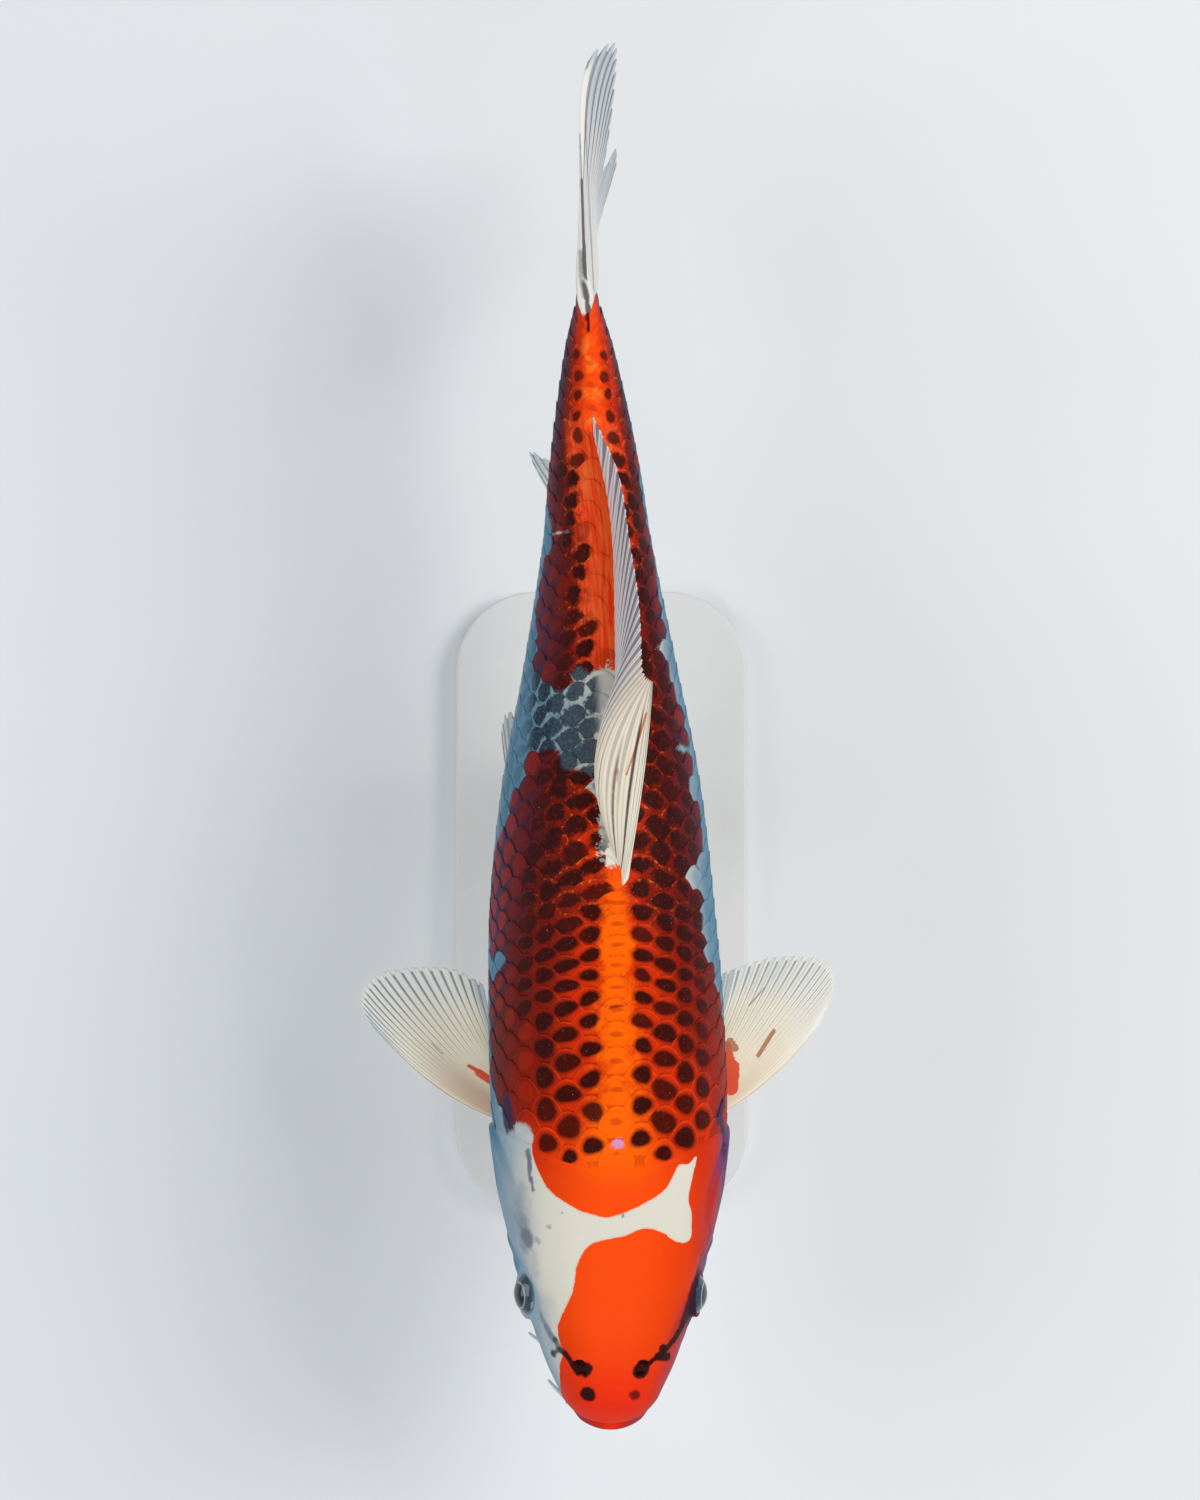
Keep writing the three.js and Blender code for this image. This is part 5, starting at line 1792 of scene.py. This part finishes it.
def scale_material():
    n = Nodes("koi_scales")
    station = n.attribute("station")
    edge = n.attribute("edge")
    chance = n.attribute("chance")
    dusk = n.attribute("dusk")
    mottle = n.attribute("mottle")
    fine = n.noise(1100, 3, 0.6)
    lumps = n.noise(700, 3, 0.65)
    feather = n.times(n.smooth(n.math("ABSOLUTE", n.attribute("arc")), 15, 11), n.smooth(station, 210, 220))
    frayed = n.times(n.noise(380, 3, 0.7), n.times(feather, 2.6))
    whole = n.times(n.spread(chance), n.smooth(feather, 0.0, 1.0, 0.9, 0.0))
    ragged_edge = n.add(n.attribute("red"), n.times(fine, 0.6), frayed, whole)
    red = n.smooth(ragged_edge, -0.4, 0.4)
    ground = red_ground(n, station)
    # Behind the shoulders the net between the spots is blotched dark, with gold specks along the scale edges,
    # painted highlights where the edges catch the light.
    blotch = n.smooth(n.add(n.noise(270, 3, 0.65), n.times(fine, 0.2)), -0.15, 0.35)
    ground = n.mix(n.times(blotch, mottle, 0.55), ground, BLOTCH)
    line = n.smooth(n.add(edge, n.times(lumps, 0.02)), 0.10, 0.02)
    line_share = n.times(line, n.smooth(dusk, 0.3, 1.2, 0.03, 0.42), n.smooth(dusk, 2.2, 3.4, 1.0, 0.35))
    line_colour = n.mix(n.smooth(dusk, 1.0, 2.4), LINE_ORANGE, LINE_RED)
    line_colour = n.mix(n.smooth(dusk, 2.6, 4.0), line_colour, LINE_PURPLE)
    ground = n.mix(line_share, ground, line_colour)
    # Painted highlights: gold specks along the scale edges.
    edge_glint = n.smooth(n.noise(620, 3, 0.6), 0.04, 0.30)
    edge_glint = n.times(edge_glint, n.smooth(edge, 0.24, 0.04), mottle, n.smooth(dusk, 3.6, 2.2), 0.8)
    ground = n.mix(edge_glint, ground, GOLD)
    # Each scale's own spot, with a soft reddish fringe.
    clumps = n.times(n.noise(360, 3, 0.65), mottle, 0.75)
    spot_value = n.add(n.attribute("spot"), n.times(lumps, 0.14), clumps)
    depth = n.attribute("depth")
    spot = n.smooth(spot_value, -0.14, 0.16)
    fringe = n.smooth(spot_value, -0.48, 0.0)
    core = n.mix(n.smooth(dusk, 1.0, 3.5), SPOT_BACK, SPOT_FLANK)
    core = n.mix(n.smooth(n.noise(520, 3, 0.6), 0.0, 0.45, 0.0, 0.5), core, SPOT_RED)
    core = n.mix(n.smooth(depth, 0.7, 0.3), core, DASH_RED)
    red_side = n.mix(n.times(fringe, depth, 0.62), ground, SPOT_RED)
    red_side = n.mix(n.times(spot, depth), red_side, core)
    slate = n.attribute("slate")
    slate_tone = n.mix(n.smooth(n.add(lumps, n.times(fine, 0.4)), -0.2, 0.5), SLATE_DARK, SLATE)
    grown = n.smooth(n.add(spot_value, n.times(slate, 0.27)), -0.06, 0.26)
    white_side = n.mix(n.times(grown, slate), white_ground(n), slate_tone)
    colour = n.mix(red, white_side, red_side)
    colour = overpaint(n, colour, lumps)
    glint = n.times(n.smooth(n.noise(1500, 1, 0.4), 0.50, 0.62), n.smooth(spot_value, 0.0, 0.4))
    colour = n.mix(n.times(glint, 0.5), colour, GLINT)
    spokes = n.noise(9, 2, 0.5, n.flat_place(n.times(n.attribute("across"), 4.0), n.times(edge, 0.5), chance))
    rings = n.math("SINE", n.times(edge, 46.0))
    grooves = n.add(n.times(spokes, 0.6), n.times(rings, 0.12), n.times(fine, 0.35))
    n.set(
        colour=colour, roughness=n.smooth(fine, -1, 1, 0.40, 0.54), ior=1.15, specular=0.35,
        normal=n.bump(grooves, 0.00014, 0.45),
    )
    return n.material


def fin_material():
    n = Nodes("koi_fins")
    ray = n.attribute("ray")
    v = n.attribute("v")
    fine = n.noise(800, 3, 0.6)
    deep = n.attribute("deep")
    bone = n.mix(n.smooth(v, 0.45, 1.0), linear(252, 240, 216), linear(242, 240, 232))
    bone = n.mix(deep, bone, linear(216, 216, 214))
    warm = n.attribute("warm")
    bone = n.mix(n.times(warm, 0.8), bone, linear(232, 226, 206))
    groove = n.smooth(n.add(n.attribute("strand"), n.times(fine, 0.12)), 0.55, 0.0)
    groove_tint = n.mix(n.attribute("dusky"), linear(202, 188, 160), linear(150, 140, 152))
    bone = n.mix(n.times(groove, n.smooth(deep, 0.0, 1.0, 0.32, 0.6)), bone, groove_tint)
    tan = n.attribute("tan")
    bone = n.mix(n.times(tan, n.smooth(groove, 0.0, 1.0, 0.5, 0.85)), bone, linear(190, 142, 108))
    web = n.mix(n.smooth(n.noise(120, 3, 0.5), -1, 1), linear(146, 166, 182), linear(168, 184, 196))
    web = n.mix(n.times(deep, 0.9), web, linear(142, 126, 138))
    web = n.mix(n.times(warm, 0.85), web, linear(206, 194, 176))
    lit = n.smooth(n.add(ray, n.times(fine, 0.10)), 0.2, 0.7)
    colour = n.mix(lit, web, bone)
    colour = n.layer(colour, "shade", 0.55, linear(134, 136, 122))
    colour = n.layer(colour, "clear", 0.5, linear(134, 162, 178))
    colour = n.layer(colour, "spine", 0.9, linear(234, 232, 222))
    noise = n.times(n.noise(420, 3, 0.6), 0.22)
    patchy = n.times(n.noise(260, 3, 0.6), 0.34)
    red = n.smooth(n.add(n.attribute("red"), patchy), 0.25, 0.85)
    red_paint = n.mix(n.smooth(v, 0.25, 0.5), linear(232, 70, 32), linear(206, 106, 52))
    colour = n.mix(n.times(red, 0.95), colour, red_paint)
    brown = n.smooth(n.add(n.attribute("brown"), noise), 0.25, 0.8)
    colour = n.mix(n.times(brown, 0.85), colour, linear(178, 104, 58))
    dark = n.smooth(n.add(n.attribute("dark"), n.times(noise, 0.5)), 0.15, 0.8)
    colour = n.mix(n.times(dark, 0.88), colour, linear(52, 44, 54))
    web_alpha = n.smooth(v, 0.15, 0.9, 1.0, 0.8)
    web_alpha = n.math("SUBTRACT", web_alpha, n.times(n.attribute("clear"), 0.35))
    alpha = n.math("MAXIMUM", web_alpha, n.smooth(ray, 0.2, 0.7))
    n.set(
        colour=colour, alpha=alpha, roughness=n.smooth(fine, -1, 1, 0.40, 0.54), ior=1.25, specular=0.45,
        normal=n.bump(n.add(fine, n.times(n.attribute("joint"), 0.3)), 0.0001, 0.5),
    )
    return n.material


def barbel_material():
    n = Nodes("koi_barbels")
    fine = n.noise(900, 3, 0.6)
    along = n.attribute("along")
    colour = n.mix(n.smooth(along, 0.0, 0.6), linear(226, 150, 120), linear(190, 206, 216))
    colour = n.mix(n.smooth(fine, -0.6, 0.8, 0.0, 0.3), colour, linear(150, 150, 160))
    n.set(
        colour=colour, roughness=n.smooth(fine, -1, 1, 0.35, 0.5), specular=0.3,
        normal=n.bump(n.add(fine, n.math("SINE", n.times(along, 90.0))), 0.0001, 0.4),
    )
    return n.material


def eye_material():
    n = Nodes("koi_eyes")
    polar = n.attribute("polar")
    around = [n.times(n.attribute(name), 3.0) for name in ("turn", "turn_b")]
    spin = n.flat_place(*around, n.times(polar, 0.02))
    fibres = n.noise(6, 4, 0.7, spin)
    edge = n.add(polar, n.times(fibres, 1.6))
    iris = n.mix(n.smooth(fibres, -0.5, 0.6), linear(26, 44, 62), linear(66, 92, 114))
    iris = n.mix(n.smooth(edge, IRIS - 9, IRIS, 0.0, 0.9), iris, linear(118, 146, 166))
    gold = n.times(n.smooth(edge, PUPIL, PUPIL + 1.5), n.smooth(edge, PUPIL + 6, PUPIL + 3))
    iris = n.mix(n.times(gold, 0.7), iris, linear(170, 176, 166))
    colour = n.mix(n.smooth(edge, PUPIL - 0.8, PUPIL + 0.6), linear(20, 34, 50), iris)
    colour = n.mix(n.smooth(edge, IRIS + 3, IRIS + 9), colour, linear(60, 74, 88))
    n.set(
        colour=colour, roughness=n.smooth(n.noise(600, 2, 0.5), -1, 1, 0.07, 0.12), specular=0.5,
        coat=0.6, coat_roughness=0.04, normal=n.bump(fibres, 0.00004, 0.3),
    )
    return n.material


def plate_material():
    n = Nodes("powder_coated_plate")
    grain = n.noise(1500, 3, 0.65)
    cloud = n.noise(14, 3, 0.5)
    colour = n.mix(n.smooth(cloud, -0.8, 0.8), linear(214, 215, 216), linear(222, 222, 221))
    colour = n.mix(n.smooth(grain, 0.0, 0.9, 0.0, 0.25), colour, linear(190, 192, 195))
    n.set(
        colour=colour,
        roughness=n.smooth(grain, -1, 1, 0.48, 0.66),
        specular=0.4,
        normal=n.bump(grain, 0.00012, 0.45),
    )
    return n.material


def rod_material():
    n = Nodes("brushed_steel_rod")
    squash = n.tree.nodes.new("ShaderNodeMapping")
    squash.inputs["Scale"].default_value = (1.0, 1.0, 26.0)
    n.plug(squash.inputs["Vector"], n.place)
    brush = n.noise(260, 4, 0.7, squash.outputs[0])
    n.set(
        colour=n.mix(n.smooth(brush, -0.8, 0.8), linear(176, 178, 182), linear(206, 207, 209)),
        metallic=1.0,
        roughness=n.smooth(brush, -1, 1, 0.26, 0.44),
        normal=n.bump(brush, 0.00004, 0.35),
    )
    return n.material


def floor_material():
    n = Nodes("studio_floor")
    cloud = n.noise(5, 3, 0.5)
    n.set(
        colour=n.mix(n.smooth(cloud, -0.8, 0.8), linear(226, 229, 232), linear(230, 232, 234)),
        roughness=0.75,
        specular=0.2,
    )
    return n.material


# ---- studio ----


FLOOR_REACH = 3000.0
FLOOR_AROUND = 96
FLOOR_DROP = 0.05
# The floor's rings, as shares of its reach, and how high each one lies.
FLOOR_PROFILE = [
    (1 / 3000, 0), (400 / 3000, 0), (0.8, 0), (0.92, 60), (1, 240), (1.04, 600), (1.06, 1200),
]


def build_floor(material):
    """A wide pale sheet, rounded up at its far edges."""
    turn = np.linspace(0, 2 * np.pi, FLOOR_AROUND, endpoint=False)
    out, lift = np.array(FLOOR_PROFILE).T[..., None]
    out = out * FLOOR_REACH
    rings = np.stack([out * np.cos(turn), out * np.sin(turn), lift + 0 * turn - FLOOR_DROP], axis=-1)
    points = np.concatenate([rings.reshape(-1, 3), [[0, 0, -FLOOR_DROP]]])
    faces = [
        tube_faces(len(FLOOR_PROFILE), FLOOR_AROUND)[:, ::-1],
        fan_faces(0, FLOOR_AROUND, len(points) - 1, True),
    ]
    piece = new_mesh("studio_floor", points * MM, faces)
    piece.data.materials.append(material)


def area_light(name, place_at, target, size, energy, colour=(1, 1, 1)):
    """A rectangular lamp that faces its target."""
    data = bpy.data.lights.new(name, "AREA")
    data.shape = "RECTANGLE"
    data.size = size[0]
    data.size_y = size[1]
    data.energy = energy
    data.color = colour
    lamp = bpy.data.objects.new(name, data)
    lamp.location = place_at
    lamp.rotation_euler = (Vector(target) - Vector(place_at)).to_track_quat("-Z", "Y").to_euler()
    bpy.context.scene.collection.objects.link(lamp)


def studio():
    scene = bpy.context.scene
    scene.view_settings.view_transform = "Standard"
    world = bpy.data.worlds.new("soft_room")
    scene.world = world
    world.use_nodes = True
    background = world.node_tree.nodes["Background"]
    background.inputs[0].default_value = (0.93, 0.96, 1.0, 1)
    background.inputs[1].default_value = 0.30
    middle = (0, 0.07, AXIS_Z * MM)
    area_light("key", (1.15, 0.55, 1.35), middle, (1.1, 1.1), 21.0, (1, 0.985, 0.96))
    area_light("fill", (-1.25, 0.15, 1.15), middle, (1.3, 1.3), 10.5, (0.96, 0.98, 1))
    area_light("front", (0.1, -1.35, 1.1), middle, (1.2, 0.9), 8.0)


# The camera's height over the body's axis and the height of what it sees there, in metres.
CAMERA_ABOVE = 1.8
FRAME_HEIGHT = 0.59655
CAMERA_STATION = 269.6
SENSOR = 36


def build_camera():
    """Straight down on the back, from where the whole fish fills the tall frame."""
    data = bpy.data.cameras.new("camera")
    data.sensor_width = SENSOR
    data.lens = SENSOR * CAMERA_ABOVE / FRAME_HEIGHT
    camera = bpy.data.objects.new("camera", data)
    camera.location = (-0.0006, (CAMERA_STATION + SNOUT_Y) * MM, (AXIS_Z + 5) * MM + CAMERA_ABOVE)
    bpy.context.scene.collection.objects.link(camera)
    bpy.context.scene.camera = camera


def write_sizes():
    """Brings every placement in the scene up to date."""
    bpy.context.view_layer.update()


def build_all():
    build_skin(skin_material())
    build_scales(scale_material())
    build_fins(fin_material())
    barbel = barbel_material()
    eye = eye_material()
    for side in ("left", "right"):
        build_eye(side, eye)
        for name in BARBELS:
            build_barbel(name, side, barbel)
    build_base(plate_material())
    rod = rod_material()
    for node in ("stand_rod_front", "stand_rod_rear"):
        build_rod(node, rod)
    build_floor(floor_material())


build_all()
studio()
build_camera()
write_sizes()
